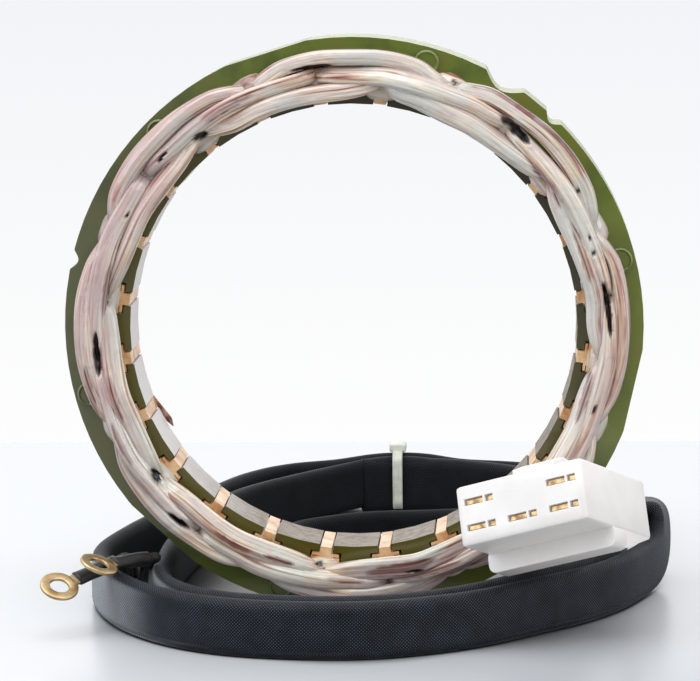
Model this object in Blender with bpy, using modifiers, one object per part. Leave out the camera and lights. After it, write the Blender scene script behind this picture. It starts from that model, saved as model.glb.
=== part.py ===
"""Wound stator: a slotted ring core with a three-tier winding, and its braided lead with a six-way plug.

The ring stands on its rim with its axis along Y and its front towards -Y. Metres, +Z up, floor at z = 0.
"""

import math

import bmesh
import bpy
from mathutils import Matrix, Vector

MM = 0.001
TAU = 2 * math.pi
QUARTER = math.pi / 2

# Gap between two pieces that touch
FIT = 0.3 * MM
# How far a cutter or a joined shape runs past the face that it starts from
OVERRUN = 1.0 * MM

# Laminated core
STACK = 15.0 * MM
BORE_RADIUS = 51.0 * MM
LIP_DEPTH = 1.6 * MM
SLOT_DEPTH = 10.6 * MM
YOKE = 4.4 * MM
SLOT_COUNT = 24
SLOT_WIDTH = 7.2 * MM
SLOT_MOUTH = 3.2 * MM
SLOT_CORNER = 1.4 * MM
FIRST_SLOT = math.radians(7.5)
SLOT_PITCH = TAU / SLOT_COUNT
SLOT_FLOOR_RADIUS = BORE_RADIUS + SLOT_DEPTH
CORE_RADIUS = SLOT_FLOOR_RADIUS + YOKE

# Marks along the rim, by angle from +X as seen from the front
FLAT_ANGLES = (107, 227, 347)
FLAT_CHORD = 19.2 * MM
NOTCH_ANGLES = (46, 166, 286)
NOTCH_WIDTH = 4.5 * MM
NOTCH_DEPTH = 1.5 * MM
SCALLOP_ANGLE = 58
SCALLOP_WIDTH = 10.0 * MM
SCALLOP_DEPTH = 2.6 * MM
RIM_STEP = math.radians(3.75)

# Rivets through the stack
RIVET_ANGLES = tuple(14 + 60 * k for k in range(6))
RIVET_INSET = 3.5 * MM
RIVET_SHANK = 1.2 * MM
RIVET_HEAD_RADIUS = 2.9 * MM
RIVET_HEAD_HEIGHT = 0.6 * MM
RIVET_BEAD = 0.8 * MM
RIVET_DIMPLE_DEPTH = 0.3 * MM
RIVET_HOLE = RIVET_SHANK + FIT
RIVET_SIDES = 16

# Slot insulators: a U liner closed by a T wedge
LINER_WALL = 0.4 * MM
LINER_LIP = 0.55 * MM
LIP_SLIT = 0.2 * MM
SLIT_END = 0.5 * MM
WEDGE_HEAD = 0.55 * MM
WEDGE_SHY = 0.2 * MM
WEDGE_STEM_PROUD = 0.3 * MM
INSULATOR_PROUD = 1.0 * MM
LINER_HALF = SLOT_WIDTH / 2 - FIT
LINER_TOP_RADIUS = SLOT_FLOOR_RADIUS - FIT
WEDGE_RADIUS = BORE_RADIUS + LIP_DEPTH + FIT
LIP_RADIUS = WEDGE_RADIUS + WEDGE_HEAD + LIP_SLIT
WINDOW_RADIUS = LIP_RADIUS + LINER_LIP
INSULATOR_HALF = STACK / 2 + INSULATOR_PROUD

# Windings: eight legs each, and one end turn in front and one behind
POLE_COUNT = 8
LEG_HALF = LINER_HALF - LINER_WALL - FIT
LEG_BASE = 0.4 * MM
LEG_BOTTOM_RADIUS = WINDOW_RADIUS + LEG_BASE
LEG_TOP_RADIUS = LINER_TOP_RADIUS - LINER_WALL - FIT
LEG_PROUD = 0.2 * MM
BAND_THICK = 2.5 * MM
BAND_HEIGHT = 4.6 * MM
BAND_INSET = 2.8 * MM
BAND_SIDES = 8
BAND_STEPS = 48
TIERS = (
    {"name": "winding_inner", "tier": 0, "slot": 2, "lift": 0.8 * MM, "swell": -0.4 * MM, "rise": 0.6 * MM},
    {"name": "winding_middle", "tier": 1, "slot": 0, "lift": 1.1 * MM, "swell": 0.0, "rise": 0.6 * MM},
    {"name": "winding_outer", "tier": 2, "slot": 1, "lift": 0.0, "swell": 0.6 * MM, "rise": 0.5 * MM},
)
END_TURN_REACH = INSULATOR_HALF + FIT + BAND_HEIGHT + max(t["lift"] + t["rise"] for t in TIERS)

# Neutral splice: a short sleeve on the rear yoke, beside the end turns
SPLICE_ANGLE = 150
SPLICE_SPAN = 20
SPLICE_RADIUS = 1.4 * MM
SPLICE_INSET = 1.9 * MM

# Flat braided sleeve, lying on its narrow edge
SLEEVE_HEIGHT = 12.8 * MM
SLEEVE_THICK = 4.2 * MM
SLEEVE_REST = SLEEVE_HEIGHT / 2
SLEEVE_STEPS = 79
SLEEVE_RISE_START = 56

# The sleeve's route in mm, from the stator to the plug: x, y and the centre's height above its rest
SLEEVE_ROUTE = (
    (-19.4, 24.5, 0), (-14.0, 34.5, 0), (0.0, 43.5, 0), (16.0, 46.0, 0), (31.0, 50.0, 0), (42.0, 57.5, 0),
    (47.0, 69.0, 0), (46.0, 82.0, 0), (37.0, 95.5, 0), (23.0, 104.5, 0.3), (11.0, 107.4, 1.8),
    (1.0, 107.4, 1.8), (-11.0, 103.2, 0.3), (-22.0, 91.0, 0), (-32.0, 76.0, 0), (-38.0, 60.0, 0),
    (-42.0, 40.0, 0), (-44.3, 18.0, 0), (-44.5, -3.0, 0), (-43.5, -20.0, 0), (-38.5, -33.0, 0),
    (-28.0, -43.0, 0), (-12.0, -47.6, 0), (4.0, -47.6, 0), (16.0, -43.3, 0), (27.3, -35.7, 0),
    (38.0, -24.5, 0), (47.5, -15.5, 0), (55.0, -3.0, 0), (60.0, 14.0, 0), (61.8, 40.0, 0),
    (62.5, 64.0, 0), (59.5, 85.0, 0), (52.0, 99.0, 0), (38.0, 109.0, 0), (22.0, 112.6, 0.3),
    (11.0, 112.9, 1.8), (1.0, 112.9, 1.8), (-11.0, 112.2, 0.3), (-24.0, 107.0, 0), (-34.0, 94.0, 0),
    (-42.0, 73.0, 0), (-50.0, 50.0, 0), (-56.5, 28.0, 0), (-60.3, 6.0, 0), (-57.5, -12.0, 0),
    (-50.5, -28.0, 0), (-40.0, -41.0, 0), (-27.0, -49.3, 0), (-12.0, -53.0, 0), (4.0, -53.0, 0),
    (18.0, -48.2, 0), (30.0, -40.7, 0), (41.5, -29.6, 0), (51.5, -19.6, 0), (60.0, -7.5, 0),
    (66.0, 6.0, 0), (69.6, 16.0, 1.2), (70.9, 22.0, 5.6), (70.2, 24.0, 10.8), (66.6, 24.2, 11.5),
)

# Collar and phase leads between the sleeve and the rear end turns
COLLAR_WALL = 0.5 * MM
COLLAR_LENGTH = 4.0 * MM
PHASE_LEAD_RADIUS = 0.9 * MM
PHASE_LEAD_PITCH = 3.0 * MM
PHASE_LEAD_ANGLES = (230, 233, 236)
PHASE_LEAD_STUB = 2.0 * MM
PHASE_LEAD_BEND = 0.3

# Cable tie round the two back runs of the sleeve
TIE_X = 5.3 * MM
TIE_BEHIND = 90.0 * MM
TIE_WIDTH = 2.6 * MM
TIE_THICK = 1.0 * MM
TIE_CORNER = 2.0 * MM
TIE_FIT = 0.5 * MM
TIE_HEAD = (4.4 * MM, 5.0 * MM, 2.2 * MM)

# Plug housing, in its own frame: x across the face, y from the face backwards, z up the rows
PLUG_PLACE = (38.0 * MM, -50.0 * MM, 33.9 * MM)
PLUG_TURN = (-19.8, -16.9, -23.3)
PLUG_WIDTH = 31.0 * MM
PLUG_HEIGHT = 13.5 * MM
PLUG_LENGTH = 31.5 * MM
PLUG_EDGE = 0.9 * MM
FRONT_WALL = 3.0 * MM
COLUMN_PITCH = 10.05 * MM
ROW_PITCH = 5.75 * MM
CAVITY_WIDTH = 8.6 * MM
CAVITY_HEIGHT = 4.4 * MM
SLOT_LONG = 4.6 * MM
SLOT_SHORT = 2.0 * MM
SLOT_WEB = 0.5 * MM
SLOT_TALL = 1.5 * MM
RIB_START = 12.0 * MM
RIB_LENGTH = 6.0 * MM
RIB_DROP = 4.2 * MM
RIB_CORNER = 1.6 * MM
RAMP_INSET = 0.3 * MM
LATCH_WIDTH = 10.0 * MM
LATCH_OFFSET = 3.5 * MM
LATCH_START = 1.0 * MM
LATCH_LENGTH = 14.0 * MM
LATCH_HEIGHT = 2.6 * MM
LATCH_FRONT_HEIGHT = 0.9 * MM
LATCH_BACK_HEIGHT = 1.3 * MM
LATCH_RAMP = 5.0 * MM

# Terminals by column (-1, 0, 1) and row (1 is the upper one); the upper middle cavity is empty
TERMINALS = ((-1, 1), (-1, -1), (0, -1), (1, 1), (1, -1))
TERMINAL_LENGTH = 13.0 * MM
TERMINAL_THICK = 2.4 * MM
CRIMP_RADIUS = 1.2 * MM
CRIMP_LENGTH = 5.0 * MM
NOSE_INSET = 0.7 * MM

# Wires between the plug and the sleeve's mouth
WIRE_RADIUS = 0.7 * MM
MOUTH_PITCH = 2.2 * MM
MOUTH_LAYER = 0.95 * MM
WIRE_LANES = ((-1, 1), (-2, -1), (0, -1), (1, 1), (2, -1))
MOUTH_TURN = 3.4 * MM
BUNDLE_Y = 10.0 * MM
BUNDLE_RISE = 0.8 * MM
WIRE_BENDS = (
    ((47.5, -15.0, 22.5), (54.0, -2.0, 21.2)),
    ((46.5, -16.0, 17.2), (52.5, -3.0, 17.6)),
    ((52.0, -22.5, 17.2), (51.3, -17.0, 14.6), (55.0, -5.0, 16.0)),
    ((63.0, -19.0, 25.5), (62.5, -3.0, 22.5)),
    ((64.3, -22.0, 21.3), (64.3, -6.0, 18.6)),
)

# Ring terminals: centre of the eye, direction to the lead and normal of the eye
EYE_RADIUS = 4.6 * MM
EYE_HOLE = 2.3 * MM
EYE_THICK = 0.8 * MM
TONGUE_WIDTH = 3.0 * MM
SHRINK_START = 5.0 * MM
SHRINK_LENGTH = 12.0 * MM
SHRINK_RADIUS = 1.6 * MM
RING_LEAD_RADIUS = 1.1 * MM
RING_LEAD_STRAIGHT = 3.0 * MM
RING_TERMINALS = (
    {"place": (-64.8, -34.5, 11.8), "along": (0.66, 0.73, 0.17), "up": (0.32, -0.48, 0.80),
     "lead": ((-52.1, -14.0, 12.2), (-53.0, -5.0, 7.4), (-54.0, 4.0, 4.6), (-55.6, 14.0, 4.4))},
    {"place": (-56.1, -32.4, 16.3), "along": (0.55, 0.83, -0.10), "up": (0.39, -0.15, 0.91),
     "lead": ((-47.9, -13.0, 12.0), (-49.4, -5.0, 7.2), (-50.8, 5.0, 4.2), (-53.9, 21.0, 3.6))},
)


def clear_scene():
    for obj in list(bpy.data.objects):
        bpy.data.objects.remove(obj, do_unlink=True)


def new_collection(name):
    collection = bpy.data.collections.new(name)
    bpy.context.scene.collection.children.link(collection)
    return collection


clear_scene()
PARTS = new_collection("wound_stator")
CUTTERS = new_collection("cutters")
CUTTERS.hide_render = True


def material(name, colour, roughness, metallic=0.0):
    """A Principled material; the colour is given as linear red, green and blue."""
    made = bpy.data.materials.new(name)
    made.use_nodes = True
    shader = made.node_tree.nodes["Principled BSDF"]
    shader.inputs["Base Color"].default_value = (*colour, 1.0)
    shader.inputs["Roughness"].default_value = roughness
    shader.inputs["Metallic"].default_value = metallic
    return made


def add_part(name, data, look, parent=None):
    obj = bpy.data.objects.new(name, data)
    PARTS.objects.link(obj)
    obj.parent = parent
    data.materials.clear()
    data.materials.append(material(name + "_finish", *look))
    return obj


def add_helper(name, data, parent=None):
    """A cutter, an operand or a guide, which isn't part of the object."""
    obj = bpy.data.objects.new(name, data)
    CUTTERS.objects.link(obj)
    obj.parent = parent
    obj.hide_render = True
    obj.display_type = "WIRE"
    return obj


def add_empty(name, place, turn):
    obj = bpy.data.objects.new(name, None)
    PARTS.objects.link(obj)
    obj.location = place
    obj.rotation_euler = turn
    return obj


def polar(radius, angle):
    return radius * math.cos(angle), radius * math.sin(angle)


def arc(centre, radius, start, end, steps):
    """Points along an arc, both ends included."""
    turns = [start + (end - start) * i / steps for i in range(steps + 1)]
    return [(centre[0] + radius * math.cos(t), centre[1] + radius * math.sin(t)) for t in turns]


def flat_curve(name, outlines, thickness):
    """A filled outline, or an outline with holes, extruded to a thickness about its own plane."""
    curve = bpy.data.curves.new(name, "CURVE")
    curve.dimensions = "2D"
    curve.fill_mode = "BOTH"
    curve.extrude = thickness / 2
    for outline in outlines:
        spline = curve.splines.new("POLY")
        spline.points.add(len(outline) - 1)
        for point, (x, y) in zip(spline.points, outline):
            point.co = (x, y, 0, 1)
        spline.use_cyclic_u = True
    return curve


def tube_curve(name, points, radius, resolution=2):
    """A round tube along a polyline, with closed ends."""
    curve = bpy.data.curves.new(name, "CURVE")
    curve.dimensions = "3D"
    curve.fill_mode = "FULL"
    curve.bevel_depth = radius
    curve.bevel_resolution = resolution
    curve.use_fill_caps = True
    spline = curve.splines.new("POLY")
    spline.points.add(len(points) - 1)
    for point, place in zip(spline.points, points):
        point.co = (*place, 1)
    return curve


def profile_curve(name, outline):
    """A closed outline that a curve is bevelled with."""
    curve = bpy.data.curves.new(name, "CURVE")
    curve.dimensions = "2D"
    curve.fill_mode = "NONE"
    spline = curve.splines.new("POLY")
    spline.points.add(len(outline) - 1)
    for point, (x, y) in zip(spline.points, outline):
        point.co = (x, y, 0, 1)
    spline.use_cyclic_u = True
    return add_helper(name, curve)


def smooth_route(points, count):
    """Points read from a Catmull-Rom curve through the route's own points."""
    ends = [2 * points[0] - points[1]] + list(points) + [2 * points[-1] - points[-2]]
    read = []
    for i in range(count + 1):
        place = (len(points) - 1) * i / count
        k = min(int(place), len(points) - 2)
        t = place - k
        a, b, c, d = ends[k : k + 4]
        read.append(
            0.5 * (2 * b + (c - a) * t + (2 * a - 5 * b + 4 * c - d) * t**2
                   + (3 * b - a - 3 * c + d) * t**3)
        )
    return read


def mesh_of(objects, name):
    """One mesh from the evaluated objects, in world space, with curve caps welded. They are removed."""
    bpy.context.view_layer.update()
    graph = bpy.context.evaluated_depsgraph_get()
    made = bmesh.new()
    for obj in objects:
        piece = bpy.data.meshes.new_from_object(obj.evaluated_get(graph))
        piece.transform(obj.matrix_world)
        made.from_mesh(piece)
        bpy.data.meshes.remove(piece)
    bmesh.ops.remove_doubles(made, verts=made.verts, dist=1e-6)
    bmesh.ops.recalc_face_normals(made, faces=made.faces)
    mesh = bpy.data.meshes.new(name)
    made.to_mesh(mesh)
    made.free()
    for obj in objects:
        bpy.data.objects.remove(obj, do_unlink=True)
    return mesh


def box_mesh(name, size, centre):
    made = bmesh.new()
    bmesh.ops.create_cube(made, size=1.0, matrix=Matrix.Translation(centre) @ Matrix.Diagonal((*size, 1)))
    mesh = bpy.data.meshes.new(name)
    made.to_mesh(mesh)
    made.free()
    return mesh


def combine(obj, other, operation, solver="EXACT"):
    change = obj.modifiers.new(operation.lower() + "_" + other.name, "BOOLEAN")
    change.operation = operation
    change.object = other
    change.solver = solver


def shade_round(mesh, angle=40):
    mesh.shade_smooth()
    mesh.set_sharp_from_angle(angle=math.radians(angle))


# Core

def rim_dip(angle_from_middle, width, depth):
    """Depth of a round dip in the rim at this angle from its middle."""
    half = width / 2 / CORE_RADIUS
    share = angle_from_middle / half
    return depth * math.cos(share * QUARTER) if abs(share) < 1 else 0.0


def rim_outline():
    """The rim: an arc with flats as chords, and with notches and a scallop as round dips."""
    dips = [(math.radians(a), NOTCH_WIDTH, NOTCH_DEPTH) for a in NOTCH_ANGLES]
    dips.append((math.radians(SCALLOP_ANGLE), SCALLOP_WIDTH, SCALLOP_DEPTH))
    flat_half = math.asin(FLAT_CHORD / 2 / CORE_RADIUS)
    flats = [math.radians(a) for a in FLAT_ANGLES]
    angles = {round(RIM_STEP * k, 6) for k in range(round(TAU / RIM_STEP))}
    for middle, width, _ in dips:
        half = width / 2 / CORE_RADIUS
        angles = {a for a in angles if abs(a - middle) > half + RIM_STEP / 4}
        angles |= {middle + half * k / 4 for k in range(-4, 5)}
    for middle in flats:
        angles = {a for a in angles if abs(a - middle) > flat_half + RIM_STEP / 4}
        angles |= {middle - flat_half, middle + flat_half}
    outline = []
    for angle in sorted(angles):
        radius = CORE_RADIUS - sum(rim_dip(angle - middle, width, depth) for middle, width, depth in dips)
        outline.append(polar(radius, angle))
    return outline


def slot_points():
    """One slot as across and radius: up one side of the mouth, round the slot and down the other side."""
    mouth, half = SLOT_MOUTH / 2, SLOT_WIDTH / 2
    lip = BORE_RADIUS + LIP_DEPTH
    corner = SLOT_FLOOR_RADIUS - SLOT_CORNER
    right = [(mouth, math.sqrt(BORE_RADIUS**2 - mouth**2)), (mouth, lip), (half, lip)]
    right += arc((half - SLOT_CORNER, corner), SLOT_CORNER, 0, QUARTER, 2)
    return right + [(-x, y) for x, y in reversed(right)]


def bore_outline():
    """The bore: tooth tips on an arc, with a slot between each two."""
    outline = []
    for k in range(SLOT_COUNT):
        angle = FIRST_SLOT + k * SLOT_PITCH
        for across, radius in slot_points():
            turn = angle - QUARTER
            x = across * math.cos(turn) - radius * math.sin(turn)
            y = across * math.sin(turn) + radius * math.cos(turn)
            outline.append((x, y))
        outline.append(polar(BORE_RADIUS, angle + SLOT_PITCH / 2))
    return outline


def build_core(ring):
    holes = []
    for degrees in RIVET_ANGLES:
        centre = polar(CORE_RADIUS - RIVET_INSET, math.radians(degrees))
        holes.append(arc(centre, RIVET_HOLE, 0, TAU * 7 / 8, 7))
    outlines = [rim_outline(), bore_outline()] + holes
    curve = flat_curve("stator_core", outlines, STACK)
    add_part("stator_core", curve, ((0.12, 0.15, 0.03), 0.45, 0.6), ring)


def build_rivets(ring):
    """Each rivet is a turned profile: a head on each side, with a raised bead round a shallow dimple."""
    seat = STACK / 2 + FIT
    top = seat + RIVET_HEAD_HEIGHT
    bead = RIVET_HEAD_RADIUS - RIVET_BEAD / 2
    dimple = RIVET_HEAD_RADIUS - RIVET_BEAD
    half = [(0, top - RIVET_DIMPLE_DEPTH), (dimple, top - RIVET_DIMPLE_DEPTH), (bead, top),
            (RIVET_HEAD_RADIUS, seat), (RIVET_SHANK, seat)]
    profile = half + [(r, -h) for r, h in reversed(half)]
    for k, degrees in enumerate(RIVET_ANGLES):
        mesh = bpy.data.meshes.new("rivet")
        points = [(r, 0, h) for r, h in profile]
        mesh.from_pydata(points, [(i, i + 1) for i in range(len(points) - 1)], [])
        rivet = add_part(f"rivet_{k + 1}", mesh, ((0.12, 0.15, 0.03), 0.4, 0.6), ring)
        rivet.location = (*polar(CORE_RADIUS - RIVET_INSET, math.radians(degrees)), 0)
        turned = rivet.modifiers.new("turned", "SCREW")
        turned.steps = turned.render_steps = RIVET_SIDES
        turned.use_merge_vertices = True
        turned.merge_threshold = 1e-5
        turned.use_smooth_shade = True


def build_insulators(ring):
    """Each liner wraps the slot walls down to two folded lips, on the T wedge that fills the slot mouth."""
    stem, half = SLOT_MOUTH / 2 - FIT, LINER_HALF
    stem_end = BORE_RADIUS + WEDGE_STEM_PROUD
    corner = SLOT_CORNER - FIT
    head, head_top, slit = half - WEDGE_SHY, WEDGE_RADIUS + WEDGE_HEAD, stem + SLIT_END
    right = [(stem, stem_end), (stem, WEDGE_RADIUS), (head, WEDGE_RADIUS), (head, head_top),
             (slit, head_top), (slit, LIP_RADIUS), (half, LIP_RADIUS)]
    right += arc((half - corner, LINER_TOP_RADIUS - corner), corner, 0, QUARTER, 2)
    outside = right + [(-x, y) for x, y in reversed(right)]
    window_half, window_top = half - LINER_WALL, LINER_TOP_RADIUS - LINER_WALL
    inner = corner - LINER_WALL
    side = [(window_half, WINDOW_RADIUS)]
    side += arc((window_half - inner, window_top - inner), inner, 0, QUARTER, 2)
    window = side + [(-x, y) for x, y in reversed(side)]
    for k in range(SLOT_COUNT):
        curve = flat_curve("slot_insulator", [outside, window], 2 * INSULATOR_HALF)
        part = add_part(f"slot_insulator_{k + 1:02d}", curve, ((0.7, 0.45, 0.22), 0.5), ring)
        part.rotation_euler = (0, 0, FIRST_SLOT + k * SLOT_PITCH - QUARTER)


# Windings

def band_middle(tier):
    """Radius of the middle of a tier's end turns."""
    return BORE_RADIUS + BAND_INSET + BAND_THICK / 2 + tier["tier"] * (BAND_THICK + FIT)


def band_height(tier):
    """Distance of the middle of a tier's end turns from the middle of the stack."""
    return INSULATOR_HALF + FIT + tier["lift"] + BAND_HEIGHT / 2


def band_points(tier, side):
    """A closed ring that swells between each two slots of the phase, and dips at the next turn's start."""
    first = FIRST_SLOT + tier["slot"] * SLOT_PITCH
    points = []
    for i in range(BAND_STEPS):
        swell = math.sin(math.pi * ((POLE_COUNT * i / BAND_STEPS) % 1.0))
        radius = band_middle(tier) + tier["swell"] * swell
        height = band_height(tier) + tier["rise"] * swell
        points.append((*polar(radius, first + TAU * i / BAND_STEPS), side * height))
    return points


def build_band(tier, side, ring, profile):
    curve = tube_curve("band", band_points(tier, side), 0.0)
    curve.bevel_mode = "OBJECT"
    curve.bevel_object = profile
    curve.twist_mode = "Z_UP"
    curve.use_fill_caps = False
    curve.splines[0].use_cyclic_u = True
    return add_helper("band", curve, ring)


def leg_outline(tier):
    """A leg seen along the rim, as radius and height: the slot part, with a neck at each end."""
    middle = band_middle(tier)
    low = max(LEG_BOTTOM_RADIUS, middle - BAND_THICK / 2)
    high = min(LEG_TOP_RADIUS, middle + BAND_THICK / 2)
    body = STACK / 2 + LEG_PROUD
    neck = band_height(tier)
    upper = [(LEG_TOP_RADIUS, body), (high, body), (high, neck), (low, neck), (low, body)]
    upper.append((LEG_BOTTOM_RADIUS, body))
    kept = [p for i, p in enumerate(upper) if i == 0 or p != upper[i - 1]]
    return kept + [(r, -h) for r, h in reversed(kept)]


def build_windings(ring):
    oval = [(BAND_THICK / 2 * math.cos(t), BAND_HEIGHT / 2 * math.sin(t))
            for t in (TAU * (k + 0.5) / BAND_SIDES for k in range(BAND_SIDES))]
    profile = profile_curve("band_profile", oval)
    colours = ((0.55, 0.42, 0.36), (0.62, 0.48, 0.42), (0.68, 0.55, 0.5))
    for tier, colour in zip(TIERS, colours):
        bands = [build_band(tier, side, ring, profile) for side in (1, -1)]
        legs = []
        for k in range(POLE_COUNT):
            leg = add_helper("leg", flat_curve("leg", [leg_outline(tier)], 2 * LEG_HALF), ring)
            angle = FIRST_SLOT + (tier["slot"] + k * SLOT_COUNT / POLE_COUNT) * SLOT_PITCH
            leg.rotation_euler = (QUARTER, 0, angle)
            legs.append(leg)
        winding = add_part(tier["name"], mesh_of(bands, tier["name"]), (colour, 0.35))
        operand = add_helper(tier["name"] + "_legs", mesh_of(legs, tier["name"] + "_legs"))
        combine(winding, operand, "UNION", "MANIFOLD")
        shade_round(winding.data)


def build_splice(ring):
    radius = CORE_RADIUS - SPLICE_INSET
    height = -(STACK / 2 + FIT + SPLICE_RADIUS)
    start, span = math.radians(SPLICE_ANGLE - SPLICE_SPAN / 2), math.radians(SPLICE_SPAN)
    points = [(*polar(radius, start + span * i / 6), height) for i in range(7)]
    curve = tube_curve("neutral_splice", points, SPLICE_RADIUS)
    add_part("neutral_splice", curve, ((0.8, 0.75, 0.6), 0.6), ring)


# Sleeve

def stadium(thickness, height):
    """A flat tube's section: straight sides and round edges."""
    radius = thickness / 2
    rise = height / 2 - radius
    around = arc((0, rise), radius, 0, math.pi, 4) + arc((0, -rise), radius, math.pi, TAU, 4)
    return around[::-1]


def sleeve_route():
    return [Vector((x * MM, y * MM, SLEEVE_REST + up * MM)) for x, y, up in SLEEVE_ROUTE]


def sleeve_points():
    """The sleeve's centre line, never lower than when it lies on the floor."""
    points = smooth_route(sleeve_route(), SLEEVE_STEPS)
    for point in points:
        point.z = max(point.z, SLEEVE_REST)
    return points


def sleeve_tilts(points):
    """The sleeve stands on edge along the coil. Where it rises to its mouth it bends without a twist."""
    tilts = []
    for i, point in enumerate(points):
        ahead = (points[min(i + 1, SLEEVE_STEPS)] - points[max(i - 1, 0)]).normalized()
        side = ahead.cross(Vector((0, 0, 1))).normalized()
        if (len(SLEEVE_ROUTE) - 1) * i / SLEEVE_STEPS < SLEEVE_RISE_START:
            flat = side
        flat = (flat - flat.dot(ahead) * ahead).normalized()
        tilts.append(math.atan2(flat.dot(ahead.cross(side)), flat.dot(side)))
    return tilts


def build_sleeve():
    profile = profile_curve("sleeve_profile", stadium(SLEEVE_THICK, SLEEVE_HEIGHT))
    points = sleeve_points()
    curve = tube_curve("braided_sleeve", points, 0.0)
    curve.bevel_mode = "OBJECT"
    curve.bevel_object = profile
    curve.twist_mode = "Z_UP"
    for point, tilt in zip(curve.splines[0].points, sleeve_tilts(points)):
        point.tilt = tilt
    add_part("braided_sleeve", curve, ((0.02, 0.022, 0.026), 0.7))


def build_collar():
    route = sleeve_route()
    out = (route[0] - route[1]).normalized()
    start = route[0] + out * FIT
    curve = tube_curve("lead_collar", [start, start + out * COLLAR_LENGTH], 0.0)
    curve.bevel_mode = "OBJECT"
    section = stadium(SLEEVE_THICK + 2 * COLLAR_WALL, SLEEVE_HEIGHT - 2 * FIT)
    curve.bevel_object = profile_curve("collar_profile", section)
    curve.twist_mode = "Z_UP"
    add_part("lead_collar", curve, ((0.015, 0.015, 0.016), 0.5))
    return start + out * (COLLAR_LENGTH + FIT), out


def build_phase_leads(mouth, out):
    """Three leads fan out of the collar and lie along the rear end turns, one on each tier."""
    rear = END_TURN_REACH + FIT + PHASE_LEAD_RADIUS
    for k, (tier, degrees) in enumerate(zip(reversed(TIERS), reversed(PHASE_LEAD_ANGLES))):
        start = mouth + Vector((0, 0, (k - 1) * PHASE_LEAD_PITCH))
        x, z = polar(band_middle(tier), math.radians(degrees))
        end = Vector((x, rear, CORE_RADIUS + z))
        near = start + out * PHASE_LEAD_STUB
        bend = near.lerp(end, PHASE_LEAD_BEND)
        bend.y = rear + FIT
        points = smooth_route([start, near, bend, (bend + end) / 2, end], 16)
        curve = tube_curve(f"phase_lead_{k + 1}", points, PHASE_LEAD_RADIUS)
        add_part(f"phase_lead_{k + 1}", curve, ((0.03, 0.03, 0.03), 0.5))


def rounded_box(x_low, x_high, y_low, y_high, corner):
    """A rectangle with round corners, anticlockwise."""
    outline = arc((x_high - corner, y_high - corner), corner, 0, QUARTER, 3)
    outline += arc((x_low + corner, y_high - corner), corner, QUARTER, math.pi, 3)
    outline += arc((x_low + corner, y_low + corner), corner, math.pi, 3 * QUARTER, 3)
    return outline + arc((x_high - corner, y_low + corner), corner, 3 * QUARTER, TAU, 3)


def build_tie():
    """The strap runs round the two back runs of the sleeve, with its head on top."""
    points = sleeve_points()
    crossed = []
    for a, b in zip(points, points[1:]):
        if (a.x - TIE_X) * (b.x - TIE_X) <= 0 and a.y > TIE_BEHIND:
            crossed.append(a.lerp(b, (TIE_X - a.x) / (b.x - a.x)))
    front = min(p.y for p in crossed) - SLEEVE_THICK / 2 - TIE_FIT
    back = max(p.y for p in crossed) + SLEEVE_THICK / 2 + TIE_FIT
    low = min(p.z for p in crossed) - SLEEVE_HEIGHT / 2 - TIE_FIT
    high = max(p.z for p in crossed) + SLEEVE_HEIGHT / 2 + TIE_FIT
    inside = rounded_box(front, back, low, high, TIE_CORNER)
    wall = TIE_THICK
    outside = rounded_box(front - wall, back + wall, low - wall, high + wall, TIE_CORNER + wall)
    strap = add_helper("strap", flat_curve("strap", [outside, inside], TIE_WIDTH))
    strap.rotation_euler = (QUARTER, 0, QUARTER)
    strap.location = (TIE_X, 0, 0)
    tie = add_part("cable_tie", mesh_of([strap], "cable_tie"), ((0.6, 0.62, 0.54), 0.4))
    top = high + TIE_THICK / 2
    middle = (front + back) / 2
    head = box_mesh("tie_head", TIE_HEAD, (TIE_X, middle, top + TIE_HEAD[2] / 2))
    combine(tie, add_helper("tie_head", head), "UNION")


# Plug

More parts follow.
